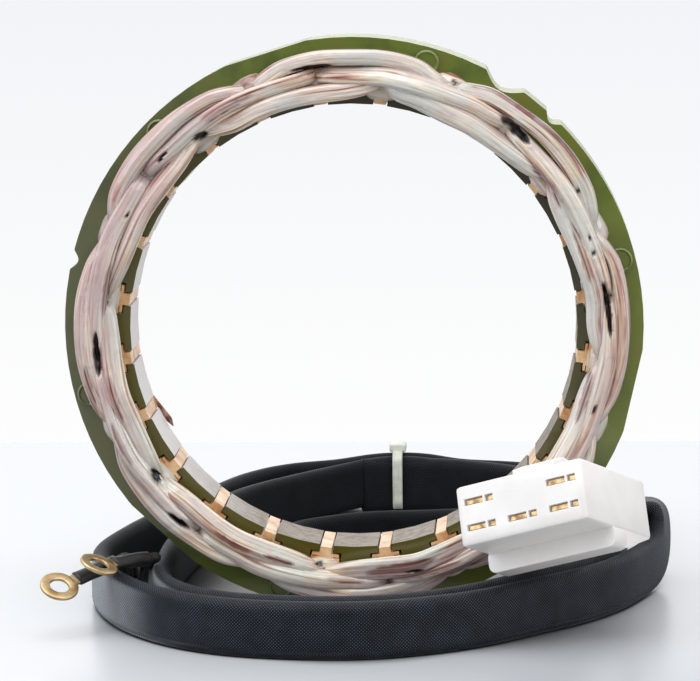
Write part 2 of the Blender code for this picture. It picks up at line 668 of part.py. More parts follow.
def build_housing(plug):
    """The housing: slots in the front wall, cavities open behind, a rib under it and a latch on top."""
    centre = (0, PLUG_LENGTH / 2, 0)
    body = box_mesh("plug_housing", (PLUG_WIDTH, PLUG_LENGTH, PLUG_HEIGHT), centre)
    housing = add_part("plug_housing", body, ((0.88, 0.88, 0.86), 0.35), plug)
    rounded = housing.modifiers.new("edges", "BEVEL")
    rounded.width = PLUG_EDGE
    rounded.segments = 2
    bottom = -PLUG_HEIGHT / 2
    drop = rounded_box(-PLUG_WIDTH / 2, PLUG_WIDTH / 2, bottom - RIB_DROP, bottom + PLUG_EDGE, RIB_CORNER)
    rib = add_helper("plug_rib", flat_curve("plug_rib", [drop], RIB_LENGTH))
    rib.rotation_euler = (QUARTER, 0, 0)
    rib.location = (0, RIB_START + RIB_LENGTH / 2, 0)
    combine(housing, add_helper("plug_rib_solid", mesh_of([rib], "plug_rib_solid"), plug), "UNION")
    rib_end, ramp_end = RIB_START + RIB_LENGTH, PLUG_LENGTH - PLUG_EDGE
    slope = [(rib_end - OVERRUN, bottom + PLUG_EDGE), (rib_end - OVERRUN, bottom - RIB_DROP + RAMP_INSET),
             (rib_end, bottom - RIB_DROP + RAMP_INSET), (ramp_end, bottom), (ramp_end, bottom + PLUG_EDGE)]
    ramp = add_helper("plug_ramp", flat_curve("plug_ramp", [slope], PLUG_WIDTH - 2 * RAMP_INSET))
    ramp.rotation_euler = (QUARTER, 0, QUARTER)
    combine(housing, add_helper("plug_ramp_solid", mesh_of([ramp], "plug_ramp_solid"), plug), "UNION")
    top = PLUG_HEIGHT / 2
    latch_end = LATCH_START + LATCH_LENGTH
    side = [(LATCH_START, top - PLUG_EDGE), (latch_end, top - PLUG_EDGE),
            (latch_end, top + LATCH_BACK_HEIGHT), (LATCH_START + LATCH_RAMP, top + LATCH_HEIGHT),
            (LATCH_START, top + LATCH_FRONT_HEIGHT)]
    latch = add_helper("plug_latch", flat_curve("plug_latch", [side], LATCH_WIDTH))
    latch.rotation_euler = (QUARTER, 0, QUARTER)
    latch.location = (LATCH_OFFSET, 0, 0)
    combine(housing, add_helper("plug_latch_solid", mesh_of([latch], "plug_latch_solid"), plug), "UNION")
    for k, (column, row) in enumerate(TERMINALS):
        x, z = column * COLUMN_PITCH, row * ROW_PITCH / 2
        depth = PLUG_LENGTH - FRONT_WALL + OVERRUN
        cavity = box_mesh("cavity", (CAVITY_WIDTH, depth, CAVITY_HEIGHT), (x, FRONT_WALL + depth / 2, z))
        combine(housing, add_helper(f"cavity_{k + 1}", cavity, plug), "DIFFERENCE")
        for j, (offset, width) in enumerate(slot_pair()):
            size = (width, FRONT_WALL + 2 * OVERRUN, SLOT_TALL)
            slot = box_mesh("slot", size, (x + offset, FRONT_WALL / 2, z))
            combine(housing, add_helper(f"slot_{k + 1}_{j + 1}", slot, plug), "DIFFERENCE")


def slot_pair():
    """Middle and width of the long and the short slot, from the terminal's middle."""
    total = SLOT_LONG + SLOT_WEB + SLOT_SHORT
    return ((SLOT_LONG - total) / 2, SLOT_LONG), ((total - SLOT_SHORT) / 2, SLOT_SHORT)


def build_terminals(plug):
    """A folded receptacle: a flat box with two prongs in the face's slots, and a crimp barrel behind."""
    start = FRONT_WALL + FIT
    end = start + TERMINAL_LENGTH
    for k, (column, row) in enumerate(TERMINALS):
        x, z = column * COLUMN_PITCH, row * ROW_PITCH / 2
        body = box_mesh("terminal", (CAVITY_WIDTH - 4 * FIT, TERMINAL_LENGTH, TERMINAL_THICK),
                        (x, start + TERMINAL_LENGTH / 2, z))
        terminal = add_part(f"terminal_{k + 1}", body, ((0.75, 0.5, 0.14), 0.3, 1.0), plug)
        for j, (offset, width) in enumerate(slot_pair()):
            reach = start + OVERRUN - NOSE_INSET
            prong = box_mesh("prong", (width - 2 * FIT, reach, SLOT_TALL - 2 * FIT),
                             (x + offset, NOSE_INSET + reach / 2, z))
            combine(terminal, add_helper(f"prong_{k + 1}_{j + 1}", prong, plug), "UNION")
        barrel = bmesh.new()
        middle = end + (CRIMP_LENGTH - OVERRUN) / 2
        along = Matrix.Translation((x, middle, z)) @ Matrix.Rotation(QUARTER, 4, "X")
        bmesh.ops.create_cone(barrel, cap_ends=True, segments=8, radius1=CRIMP_RADIUS, radius2=CRIMP_RADIUS,
                              depth=CRIMP_LENGTH + OVERRUN, matrix=along)
        mesh = bpy.data.meshes.new("crimp")
        barrel.to_mesh(mesh)
        barrel.free()
        combine(terminal, add_helper(f"crimp_{k + 1}", mesh, plug), "UNION")


def build_plug_wires(plug):
    """Each wire leaves its crimp, passes the rear of its cavity and bends into the sleeve's mouth."""
    bpy.context.view_layer.update()
    behind = FRONT_WALL + FIT + TERMINAL_LENGTH + CRIMP_LENGTH + FIT
    route = sleeve_route()
    out = (route[-1] - route[-2]).normalized()
    mouth = route[-1] + out * 2 * FIT
    rise = (Vector((0, 0, 1)) - out * out.z).normalized()
    side = rise.cross(out)
    colours = ((0.02, 0.02, 0.02), (0.6, 0.6, 0.58), (0.75, 0.5, 0.03),
               (0.03, 0.06, 0.3), (0.35, 0.04, 0.03))
    for k, ((column, row), (lane, layer)) in enumerate(zip(TERMINALS, WIRE_LANES)):
        x, z = column * COLUMN_PITCH, row * ROW_PITCH / 2
        inside = [plug.matrix_world @ Vector((x, y, z)) for y in (behind, PLUG_LENGTH + OVERRUN)]
        bends = [Vector(p) * MM for p in WIRE_BENDS[k]]
        end = mouth + side * lane * MOUTH_PITCH / 2 + rise * layer * MOUTH_LAYER
        radius = MOUTH_TURN - lane * MOUTH_PITCH / 2
        centre = end - Vector((0, radius, 0))
        turned = [centre + radius * Vector((-math.cos(t), math.sin(t), 0)) for t in (0, QUARTER / 2)]
        bundle = Vector((turned[0].x, BUNDLE_Y, turned[0].z + BUNDLE_RISE))
        corners = inside + bends + [bundle] + turned + [end]
        points = smooth_route(corners, 2 * (len(corners) - 1))
        curve = tube_curve(f"plug_wire_{k + 1}", points, WIRE_RADIUS)
        add_part(f"plug_wire_{k + 1}", curve, (colours[k], 0.45))


# Ring terminals

def build_ring_terminals():
    """An eye with a tongue, a shrink tube over the tongue, and a lead that goes down between the runs."""
    for k, spot in enumerate(RING_TERMINALS):
        along = Vector(spot["along"]).normalized()
        up = Vector(spot["up"])
        up = (up - up.dot(along) * along).normalized()
        across = up.cross(along)
        turn = Matrix((along, across, up)).transposed().to_4x4()
        place = Matrix.Translation(Vector(spot["place"]) * MM) @ turn
        half = TONGUE_WIDTH / 2
        swing = math.asin(half / EYE_RADIUS)
        outline = arc((0, 0), EYE_RADIUS, swing, TAU - swing, 20)
        tongue_end = SHRINK_START - FIT
        outline += [(tongue_end, -half), (tongue_end, half)]
        hole = arc((0, 0), EYE_HOLE, 0, TAU * 13 / 14, 13)
        eye = add_part(f"ring_terminal_{k + 1}", flat_curve("ring_terminal", [outline, hole], EYE_THICK),
                       ((0.7, 0.5, 0.25), 0.35, 1.0))
        eye.matrix_world = place
        shrink_end = SHRINK_START + SHRINK_LENGTH
        shape = [place @ Vector((SHRINK_START + SHRINK_LENGTH * i / 3, 0, 0)) for i in range(4)]
        add_part(f"ring_shrink_{k + 1}", tube_curve("ring_shrink", shape, SHRINK_RADIUS),
                 ((0.012, 0.012, 0.014), 0.5))
        start = place @ Vector((shrink_end + FIT, 0, 0))
        near = place @ Vector((shrink_end + RING_LEAD_STRAIGHT, 0, 0))
        points = smooth_route([start, near] + [Vector(p) * MM for p in spot["lead"]], 14)
        add_part(f"ring_lead_{k + 1}", tube_curve("ring_lead", points, RING_LEAD_RADIUS),
                 ((0.012, 0.012, 0.014), 0.5))


def build():
    ring = add_empty("ring_centre", (0, 0, CORE_RADIUS), (QUARTER, 0, 0))
    build_core(ring)
    build_rivets(ring)
    build_insulators(ring)
    build_windings(ring)
    build_splice(ring)
    build_sleeve()
    mouth, out = build_collar()
    build_phase_leads(mouth, out)
    build_tie()
    plug = add_empty("plug_frame", PLUG_PLACE, tuple(math.radians(a) for a in PLUG_TURN))
    build_housing(plug)
    build_terminals(plug)
    build_plug_wires(plug)
    build_ring_terminals()


build()
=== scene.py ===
import math
from functools import partial

import bmesh
import bpy
import numpy as np
from mathutils import Matrix, Vector


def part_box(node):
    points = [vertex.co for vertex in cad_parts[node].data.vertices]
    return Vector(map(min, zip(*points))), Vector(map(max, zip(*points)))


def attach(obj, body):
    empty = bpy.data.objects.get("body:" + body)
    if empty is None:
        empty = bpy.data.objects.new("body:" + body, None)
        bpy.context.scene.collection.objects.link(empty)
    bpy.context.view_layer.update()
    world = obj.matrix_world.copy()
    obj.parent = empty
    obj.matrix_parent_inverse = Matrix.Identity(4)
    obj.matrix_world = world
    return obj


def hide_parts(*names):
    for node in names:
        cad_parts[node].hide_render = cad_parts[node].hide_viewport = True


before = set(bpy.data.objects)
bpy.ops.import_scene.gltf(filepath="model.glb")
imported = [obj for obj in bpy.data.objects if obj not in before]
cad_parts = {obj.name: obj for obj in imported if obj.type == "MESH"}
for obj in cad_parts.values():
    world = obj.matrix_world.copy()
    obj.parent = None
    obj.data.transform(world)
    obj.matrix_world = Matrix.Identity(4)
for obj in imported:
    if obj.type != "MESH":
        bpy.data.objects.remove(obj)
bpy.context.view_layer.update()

# The wound stator: ring core, three tiers of windings, and a flat braided lead with its plug.
# Everything is in metres and in the frame of the solids: front towards -Y, floor at z = 0.
mm = 0.001
turn = 2 * math.pi
ringHeight = 66.0 * mm   # the ring's axis above the floor
print("frame loaded:", len(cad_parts), "nodes")


# Small tools

def toLinear(hexColour):
    # sRGB hex to linear: c / 12.92 below 0.04045, else ((c + 0.055) / 1.055) ^ 2.4
    channels = [int(hexColour[i:i + 2], 16) / 255 for i in (1, 3, 5)]
    linear = [c / 12.92 if c <= 0.04045 else ((c + 0.055) / 1.055) ** 2.4 for c in channels]
    return (*linear, 1.0)


def addNode(tree, kind, *inputs, output=0, stops=(), colours=(), **settings):
    # inputs are fixed values or other nodes' outputs, in the node's own order; for a Map Range that is the
    # value, from min, from max, to min and to max. stops are a colour ramp's, colours the two that a Mix
    # node mixes, and settings are properties, or inputs by their name. It gives back the output asked for,
    # or all of them.
    node = tree.nodes.new("ShaderNode" + kind)
    if colours:
        node.data_type = "RGBA"
    given = {**dict(enumerate(inputs)), **dict(enumerate(colours, 6))}
    for key, value in settings.items():
        if hasattr(node, key):
            setattr(node, key, value)
        else:
            given[key] = value
    for key, value in given.items():
        if isinstance(value, bpy.types.NodeSocket):
            tree.links.new(value, node.inputs[key])
        else:
            node.inputs[key].default_value = toLinear(value) if isinstance(value, str) else value
    while len(stops) > len(node.color_ramp.elements if stops else ()):
        node.color_ramp.elements.new(0.5)
    for k, (place, colour) in enumerate(stops):
        node.color_ramp.elements[k].position = place
        node.color_ramp.elements[k].color = toLinear(colour)
    return node.outputs if output == "all" else node.outputs[2 if colours else output]


def newMaterial(name, look):
    # a Principled shader with the look's fixed values on its own sockets, what adds a node to it, and the
    # place on the piece
    made = bpy.data.materials.new(name)
    made.use_nodes = True
    shader = made.node_tree.nodes["Principled BSDF"]
    for key, value in look.items():
        shader.inputs[key].default_value = toLinear(value) if isinstance(value, str) else value
    add = partial(addNode, made.node_tree)
    return made, add, add("TexCoord", output="Object")


def feedShader(made, sources):
    # links each output to the shader's input of that name
    for key, source in sources.items():
        made.node_tree.links.new(source, made.node_tree.nodes["Principled BSDF"].inputs[key])
    return made


def addObject(name, data):
    obj = bpy.data.objects.new(name, data)
    bpy.context.scene.collection.objects.link(obj)
    return obj


def facesOut(points, faceSets):
    # the sum of a . (b x c) over the triangles, six times the volume, is negative when faces look inwards
    volume = 0.0
    for faces in faceSets:
        for k in range(1, faces.shape[1] - 1):
            a, b, c = points[faces[:, 0]], points[faces[:, k]], points[faces[:, k + 1]]
            volume += np.einsum("ij,ij->", a, np.cross(b, c))
    return faceSets if volume > 0 else [faces[:, ::-1] for faces in faceSets]


def makePiece(name, points, faceSets, finish, uv=None, values=None):
    # points (n, 3), faces as arrays of equal-sized polygons, uv (n, 2) and named values for each point
    points = np.asarray(points, float).reshape(-1, 3)
    faceSets = facesOut(points, faceSets)
    sizes = np.concatenate([np.full(len(f), f.shape[1]) for f in faceSets])
    corners = np.concatenate([f.ravel() for f in faceSets])
    mesh = bpy.data.meshes.new(name)
    mesh.vertices.add(len(points))
    mesh.vertices.foreach_set("co", points.astype(np.float32).ravel())
    mesh.loops.add(len(corners))
    mesh.loops.foreach_set("vertex_index", corners.astype(np.int32))
    mesh.polygons.add(len(sizes))
    mesh.polygons.foreach_set("loop_start", np.concatenate([[0], np.cumsum(sizes)[:-1]]).astype(np.int32))
    mesh.update(calc_edges=True)
    mesh.shade_smooth()
    if uv is not None:
        layer = mesh.uv_layers.new(name="UVMap")
        layer.data.foreach_set("uv", np.asarray(uv, np.float32)[corners].ravel())
    for key, value in (values or {}).items():
        attribute = mesh.attributes.new(key, "FLOAT", "POINT")
        attribute.data.foreach_set("value", np.asarray(value, np.float32).ravel())
    mesh.materials.append(finishes[finish])
    return addObject(name, mesh)


def seat(piece, node=None):
    # the piece stands for the solid, which it hides, and stays on the one body
    if node:
        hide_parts(node)
    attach(piece, "root")
    return piece


def gridFaces(rows, columns, wrapRows=False):
    # quads between each row and the next, and each column and the next round to the first
    row = np.arange(rows if wrapRows else rows - 1)[:, None]
    column = np.arange(columns)[None, :]
    nextRow, nextColumn = (row + 1) % rows, (column + 1) % columns
    corners = [row * columns + column, row * columns + nextColumn,
               nextRow * columns + nextColumn, nextRow * columns + column]
    return np.stack(np.broadcast_arrays(*corners), -1).reshape(-1, 4)


def closedTube(rows, columns):
    # the grid's quads and one flat face over each end
    end = np.arange(columns)[None]
    return [gridFaces(rows, columns), end[:, ::-1], end + (rows - 1) * columns]


def tubeGrid(rows, columns, length=1):
    # how far each row lies along the tube, and each column's angle round it
    return np.linspace(0, length, rows)[:, None], np.linspace(0, turn, columns, endpoint=False)[None]


def pairs(first, second):
    # two grids of numbers as one list of pairs
    return np.stack(np.broadcast_arrays(first, second), -1).reshape(-1, 2)


def aroundRing(radius, angle, depth):
    # points at a radius and a depth, in mm, and an angle about the ring's axis, from +X up
    spots = np.broadcast_arrays(radius * np.cos(angle), depth, radius * np.sin(angle))
    return np.stack(spots, -1) * mm + [0, 0, ringHeight]


def smoothStep(share):
    # 0 below 0, 1 above 1, and 3 t^2 - 2 t^3 between
    share = np.clip(share, 0, 1)
    return share * share * (3 - 2 * share)


def smoothPath(route, count):
    # Catmull-Rom through the route's points, read at even steps of its parameter
    route = np.asarray(route, float)
    padded = np.vstack([2 * route[0] - route[1], route, 2 * route[-1] - route[-2]])
    place = np.linspace(0, len(route) - 1, count)
    k = np.minimum(place.astype(int), len(route) - 2)
    t = (place - k)[:, None]
    a, b, c, d = padded[k], padded[k + 1], padded[k + 2], padded[k + 3]
    return 0.5 * (2 * b + (c - a) * t + (2 * a - 5 * b + 4 * c - d) * t**2 + (3 * b - a - 3 * c + d) * t**3)


def alongPath(path):
    # distance from the path's start to each point
    return np.concatenate([[0], np.cumsum(np.linalg.norm(np.diff(path, axis=0), axis=1))])


def unit(vectors):
    return vectors / np.linalg.norm(vectors, axis=-1, keepdims=True)


def carried(path, side, up, x, y):
    # a section of x and y, in mm, carried along the path on its side and up directions
    return path[:, None] + mm * (x[..., None] * side[:, None] + y[..., None] * up[:, None])


# Camera

camera = {
    "place": (38.42 * mm, -718.70 * mm, 168.56 * mm),
    "right": (0.99851438, 0.05320908, -0.01173974),
    "up": (0.00379485, 0.14702133, 0.98912604),
    "ahead": (-0.05435648, 0.98770113, -0.14660099),
    "lens": 162.46,
    "sensor": 36.0,
    "reach": 20.0,
}


def addCamera():
    data = bpy.data.cameras.new("camera")
    data.sensor_width, data.lens, data.clip_end = camera["sensor"], camera["lens"], camera["reach"]
    obj = addObject("camera", data)
    turned = Matrix((camera["right"], camera["up"], -Vector(camera["ahead"]))).transposed().to_4x4()
    obj.matrix_world = Matrix.Translation(camera["place"]) @ turned
    bpy.context.scene.camera = obj


addCamera()


# Floor, world and lamps

stage = {
    # the second floor colour is painted shade towards the right front, and the hidden colour is a painted
    # shadow
    "floorAndPaintedShade": ("#bcc0c6", "#7b828b"), "paintedShadowColour": "#0c0d0f", "bounceColour": "#a2a5a8",
    "floorRoughness": 0.3, "floorGlow": 0.06, "openReach": 0.07,
    "loopMiddle": 0.03, "loopReach": (0.047, 0.085),   # the sleeve's loops, inside which a painted shadow darkens the floor
    "worldStrength": 0.62, "backdrop": [(0.0, "#fefefe"), (1.0, "#f3f4f7")],
    "glossyDark": 0.22, "glossyBright": 1.0,
    "floorFront": -0.9, "floorBack": 0.21, "floorHalf": 1.1,
    "aim": (0, 0, 0.06),
}
lamps = {   # place, size, power and colour
    "topSoftbox": ((-0.15, -0.25, 0.95), 0.9, 6.8, "#fffdfa"),
    "leftSoftbox": ((-0.85, -0.45, 0.45), 0.7, 3.7, "#f6f9ff"),
    "rightSoftbox": ((0.85, -0.55, 0.40), 0.6, 3.6, "#fffaf4"),
    "backWall": ((0.05, 0.85, 0.55), 0.9, 2.0, "#ffffff"),
}


def tableTop():
    # Glossy white board with painted light and shade: a glow that is stronger where it lies open, painted
    # shade towards the right front, and a painted shadow where other things close it in and inside the
    # sleeve's loops.
    # The camera sees it a little brighter than the light that it sends back up.
    made, add, place = newMaterial("glossyTableTop", {
        "Roughness": stage["floorRoughness"], "IOR": 1.45, "Specular IOR Level": 0.4,
        "Emission Color": "#ffffff"})
    x, y, _ = add("SeparateXYZ", place, output="all")
    openness = add("AmbientOcclusion", Distance=stage["openReach"], output="AO")
    rightward, forward, bare, shadow = [
        add("MapRange", source, start, end, interpolation_type="SMOOTHSTEP") for source, start, end in (
            (x, -0.02, 0.12), (y, 0.02, -0.12), (openness, 0.12, 0.55), (openness, 0.82, 0.5))]
    # painted shade towards the right front
    shade = add("Math", rightward, forward, operation="MULTIPLY")
    table = add("Mix", shade, colours=stage["floorAndPaintedShade"])
    # painted light: a glow that is stronger where the floor lies open
    wide = add("Math", openness, 1.6, operation="POWER")
    glow = add("Math", wide, stage["floorGlow"], operation="MULTIPLY")
    reachX, reachY = stage["loopReach"]
    middle = (0, -stage["loopMiddle"] / reachY, 0)
    centred = add("Mapping", place, Location=middle, Scale=(1 / reachX, 1 / reachY, 0))
    within = add("VectorMath", centred, operation="LENGTH", output="Value")
    inLoop = add("MapRange", within, 1.06, 0.96)
    paintedShadeShare = add("Math", inLoop, shadow, operation="MULTIPLY")
    left = add("Math", 1.0, paintedShadeShare, operation="SUBTRACT")
    clear = add("Math", bare, left, operation="MINIMUM")
    # painted shadow: dark inside the sleeve's loops and where other things close the floor in
    colour = add("Mix", clear, colours=(stage["paintedShadowColour"], table))
    feedShader(made, {"Base Color": colour, "Emission Strength": glow})
    ray = add("LightPath", output="all")
    seen = add("Math", ray["Is Camera Ray"], ray["Is Transmission Ray"], operation="MAXIMUM")
    dull = add("BsdfDiffuse", stage["bounceColour"])
    both = add("MixShader", seen, dull, made.node_tree.nodes["Principled BSDF"].outputs[0])
    made.node_tree.links.new(both, made.node_tree.nodes["Material Output"].inputs["Surface"])
    return made


def addStage():
    # a table whose far edge stands before a pale backdrop, and four soft lamps
    half, front, back = stage["floorHalf"], stage["floorFront"], stage["floorBack"]
    mesh = bpy.data.meshes.new("floor")
    corners = [(-half, front, 0), (half, front, 0), (half, back, 0), (-half, back, 0)]
    mesh.from_pydata(corners, [], [(0, 1, 2, 3)])
    mesh.materials.append(tableTop())
    addObject("floor", mesh)
    for name, (place, size, power, colour) in lamps.items():
        data = bpy.data.lights.new(name, "AREA")
        data.size, data.energy, data.color = size, power, toLinear(colour)[:3]
        obj = addObject(name, data)
        obj.location = place
        obj.rotation_euler = (Vector(stage["aim"]) - obj.location).to_track_quat("-Z", "Y").to_euler()


def addWorld():
    # the camera sees the pale backdrop, mirrors see the room's dark side behind it, and the rest is even
    world = bpy.data.worlds.new("studio")
    bpy.context.scene.world = world
    world.use_nodes = True
    world.node_tree.nodes.clear()
    add = partial(addNode, world.node_tree)
    ray = add("LightPath", output="all")
    _, y, z = add("SeparateXYZ", add("TexCoord", output="Generated"), output="all")
    seen = add("Math", ray["Is Camera Ray"], ray["Is Transmission Ray"], operation="MAXIMUM")
    light = add("Background", "#ffffff", stage["worldStrength"])
    height = add("MapRange", z, -0.18, -0.04)
    pale = add("ValToRGB", height, stops=stage["backdrop"])
    back = add("Background", pale, 1.0)
    behind = add("MapRange", y, -0.75, 0.35, stage["glossyDark"], stage["glossyBright"])
    above = add("MapRange", z, 0.35, 0.9)
    room = add("Math", behind, above, operation="MAXIMUM")
    mirrored = add("Background", "#ffffff", room)
    glossy = add("MixShader", ray["Is Glossy Ray"], light, mirrored)
    mixed = add("MixShader", seen, glossy, back)
    add("OutputWorld", mixed, output="all")


addStage()
addWorld()
bpy.context.scene.view_settings.view_transform = "Standard"
print("camera and stage ready")


# Finishes

wireMarks = ("groove", "strand", "hollow", "rust", "outer")   # what each point of a winding tells its finish
braid = {"pitch": 0.74, "around": 41}   # mm between two crossings, and crossings round the sleeve


def lacqueredSteel():
    # Silicon steel laminations, stacked, riveted and sprayed with a thin olive lacquer: the faces read
    # green and glossy, greyer to the left and with painted light to the right, browner on the teeth, and
    # almost black on the upper ones with painted shade, while the ground bore is a mottled grey brown with
    # faint lamination lines and a painted highlight on its left, and the rim's wall a pale grey green.
    values = {"greens": [(0.32, "#3c4a14"), (0.5, "#5a6a1f"), (0.7, "#66651f")], "greyGreen": "#585544",
              "litGreen": "#6f7a24", "teethAndPaintedShade": ("#55500f", "#37331a"),
              "bore": [(0.36, "#66573f"), (0.56, "#8f857a")], "boreLit": "#f2f0f4",
              "wall": [(0.3, "#8c9175"), (0.6, "#a9ad95")],
              "poolSize": 12.0, "grainScale": 420.0, "waveScale": 160.0, "lineStep": 1.25,
              "toothEnd": 55.0, "toothFade": 1.5}
    made, add, place = newMaterial("lacqueredLaminatedSteel", {})
    centred = add("VectorMath", place, (0, 0, ringHeight), operation="SUBTRACT")
    level = add("VectorMath", centred, (1, 0, 1), operation="MULTIPLY")
    radius = add("VectorMath", level, operation="LENGTH", output="Value")
    x, y, z = add("SeparateXYZ", centred, output="all")
    pools = add("TexNoise", place, Scale=1000 / values["poolSize"], Detail=3.0)
    green = add("ValToRGB", pools, stops=values["greens"])
    leftward, lit, upper, rightward, bright = [
        add("MapRange", source, start, end, 0, most) for source, start, end, most in (
            (x, -0.015, -0.06, 0.65), (x, 0.03, 0.065, 0.6), (z, -0.035, 0.02, 1), (x, -0.05, -0.005, 1),
            (x, -0.022, -0.046, 0.8))]
    green = add("Mix", leftward, colours=(green, values["greyGreen"]))
    # painted light on the faces to the right
    green = add("Mix", lit, colours=(green, values["litGreen"]))
    # painted shade: the upper teeth, under the overhanging windings, darken almost to black
    shaded = add("Math", upper, rightward, operation="MULTIPLY")
    tooth = add("Mix", shaded, colours=values["teethAndPaintedShade"])
    end, fade = values["toothEnd"], values["toothFade"]
    isTooth = add("MapRange", radius, (end + fade) * mm, (end - fade) * mm)
    faceColour = add("Mix", isTooth, colours=(green, tooth))
    grain = add("TexNoise", place, Scale=values["grainScale"], Detail=4.0, Roughness=0.65)
    lines = add("Math", y, turn / (values["lineStep"] * mm), operation="MULTIPLY")
    lines = add("Math", lines, operation="SINE")
    wearAndPaintedHighlight = add("Math", lines, 0.1, grain, operation="MULTIPLY_ADD")
    bore = add("ValToRGB", wearAndPaintedHighlight, stops=values["bore"])
    wall = add("ValToRGB", wearAndPaintedHighlight, stops=values["wall"])
    # painted highlight: the bore turns pale on its left, where the light falls on it
    bore = add("Mix", bright, colours=(bore, values["boreLit"]))
    inBore = add("Math", radius, end * mm, operation="LESS_THAN")
    sides = add("Mix", inBore, colours=(wall, bore))
    normal = add("SeparateXYZ", add("NewGeometry", output="Normal"), output="all")
    facing = add("Math", normal["Y"], operation="ABSOLUTE")
    face = add("MapRange", facing, 0.35, 0.6)
    waves = add("TexNoise", place, Scale=values["waveScale"], Detail=1.0)
    return feedShader(made, {
        "Base Color": add("Mix", face, colours=(sides, faceColour)),
        "Roughness": add("MapRange", face, 0, 1, 0.6, 0.3),
        "Coat Weight": add("MapRange", face, 0, 1, 0.12, 0.6),
        "Normal": add("Bump", Strength=0.25, Distance=0.3 * mm, Height=waves)})


def varnishedWire():
    # Enamelled copper wire, wound, laced and dipped in clear varnish that has dried milky: cream, lilac
    # grey and pink brown streaks that follow the wires, dark red-brown lines between the ropes, wet-looking
    # highlights, and a few hollows and burst bubbles where the varnish did not close, painted near black
    # inside as their shade.
    values = {"wires": [(0.0, "#4a211c"), (0.17, "#84524a"), (0.31, "#bb9788"), (0.45, "#d9c5aa"),
                        (0.6, "#e8e0d2"), (0.74, "#c6b5b7"), (0.88, "#e2d9cb"), (1.0, "#b8a3a3")],
              "milk": "#ced2cc", "mauve": "#a8777c", "line": "#4c231e", "paintedHollowShade": "#120a09", "rust": "#5c1d18",
              "streakLength": 34.0, "streakWidth": 1.5, "wireLength": 97.0, "wireWidth": 0.45,
              "milkSize": 10.0, "mauveSize": 30.0, "runSize": 3.2}
    made, add, place = newMaterial("varnishedCopperWire", {
        "Roughness": 0.3, "Coat Weight": 0.8, "Coat Roughness": 0.06, "IOR": 1.5})
    flow = add("TexCoord", output="UV")
    wide, thin = [add("Mapping", flow, Scale=(1 / values[part + "Length"], 1 / values[part + "Width"], 1))
                  for part in ("streak", "wire")]
    streaks = add("TexNoise", wide, Scale=1.0, Detail=3.0, Roughness=0.55, Distortion=0.5)
    wire = add("TexNoise", thin, Scale=1.0, Detail=1.0)
    broad = add("TexNoise", place, Scale=1000 / values["mauveSize"], Detail=1.0)
    groove, strand, hollow, rust, outer = [
        add("Attribute", attribute_name=name, output="Fac") for name in wireMarks]
    tone = add("Math", streaks, 2.3, -0.9, operation="MULTIPLY_ADD")
    tone = add("Math", wire, 0.35, tone, operation="MULTIPLY_ADD")
    tone = add("Math", strand, 0.28, tone, operation="MULTIPLY_ADD")
    colour = add("ValToRGB", tone, stops=values["wires"])
    patches = add("TexNoise", place, Scale=1000 / values["milkSize"], Detail=2.0, Distortion=0.4)
    milky = add("MapRange", patches, 0.44, 0.62, 0, 0.72)
    ridge = add("Math", outer, 0.35, broad, operation="MULTIPLY_ADD")
    rosy = add("MapRange", ridge, 0.64, 0.9, 0, 0.5)
    dark = add("MapRange", streaks, 0.35, 0.6, 0.9, 0.1)
    between = add("Math", groove, dark, operation="MULTIPLY")
    bare = add("MapRange", wire, 0.3, 0.6, 1.0, 0.35)
    ruddy = add("Math", rust, bare, operation="MULTIPLY")
    # the pit colour is painted shade, near black inside the hollows
    shares = {"milk": milky, "mauve": rosy, "line": between, "rust": ruddy, "paintedHollowShade": hollow}
    for tint, share in shares.items():
        colour = add("Mix", share, colours=(colour, values[tint]))
    runs = add("TexNoise", place, Scale=1000 / values["runSize"], Detail=1.0, Distortion=0.6)
    height = add("Math", wire, 0.3, streaks, operation="MULTIPLY_ADD")
    height = add("Math", runs, 1.6, height, operation="MULTIPLY_ADD")
    return feedShader(made, {
        "Base Color": colour,
        "Coat Weight": add("Math", hollow, -0.8, 0.8, operation="MULTIPLY_ADD"),
        "Normal": add("Bump", Strength=0.6, Distance=0.35 * mm, Height=height)})


def slotPaper():
    # Aramid and polyester slot paper, die-cut and soaked with the varnish: warm tan, fibrous, a little shiny.
    values = {"tans": [(0.28, "#a8713f"), (0.45, "#d6a470"), (0.66, "#e9c79b")], "fibre": 0.7, "blotch": 5.0}
    made, add, place = newMaterial("varnishedSlotPaper", {"Roughness": 0.4, "Coat Weight": 0.3})
    fibres = add("TexNoise", place, Scale=1000 / values["fibre"], Detail=3.0)
    blotches = add("TexNoise", place, Scale=1000 / values["blotch"], Detail=2.0)
    mixed = add("Math", fibres, 0.25, -0.12, operation="MULTIPLY_ADD")
    total = add("Math", mixed, blotches, operation="ADD")
    return feedShader(made, {
        "Base Color": add("ValToRGB", total, stops=values["tans"]),
        "Normal": add("Bump", Strength=0.3, Distance=0.1 * mm, Height=fibres)})


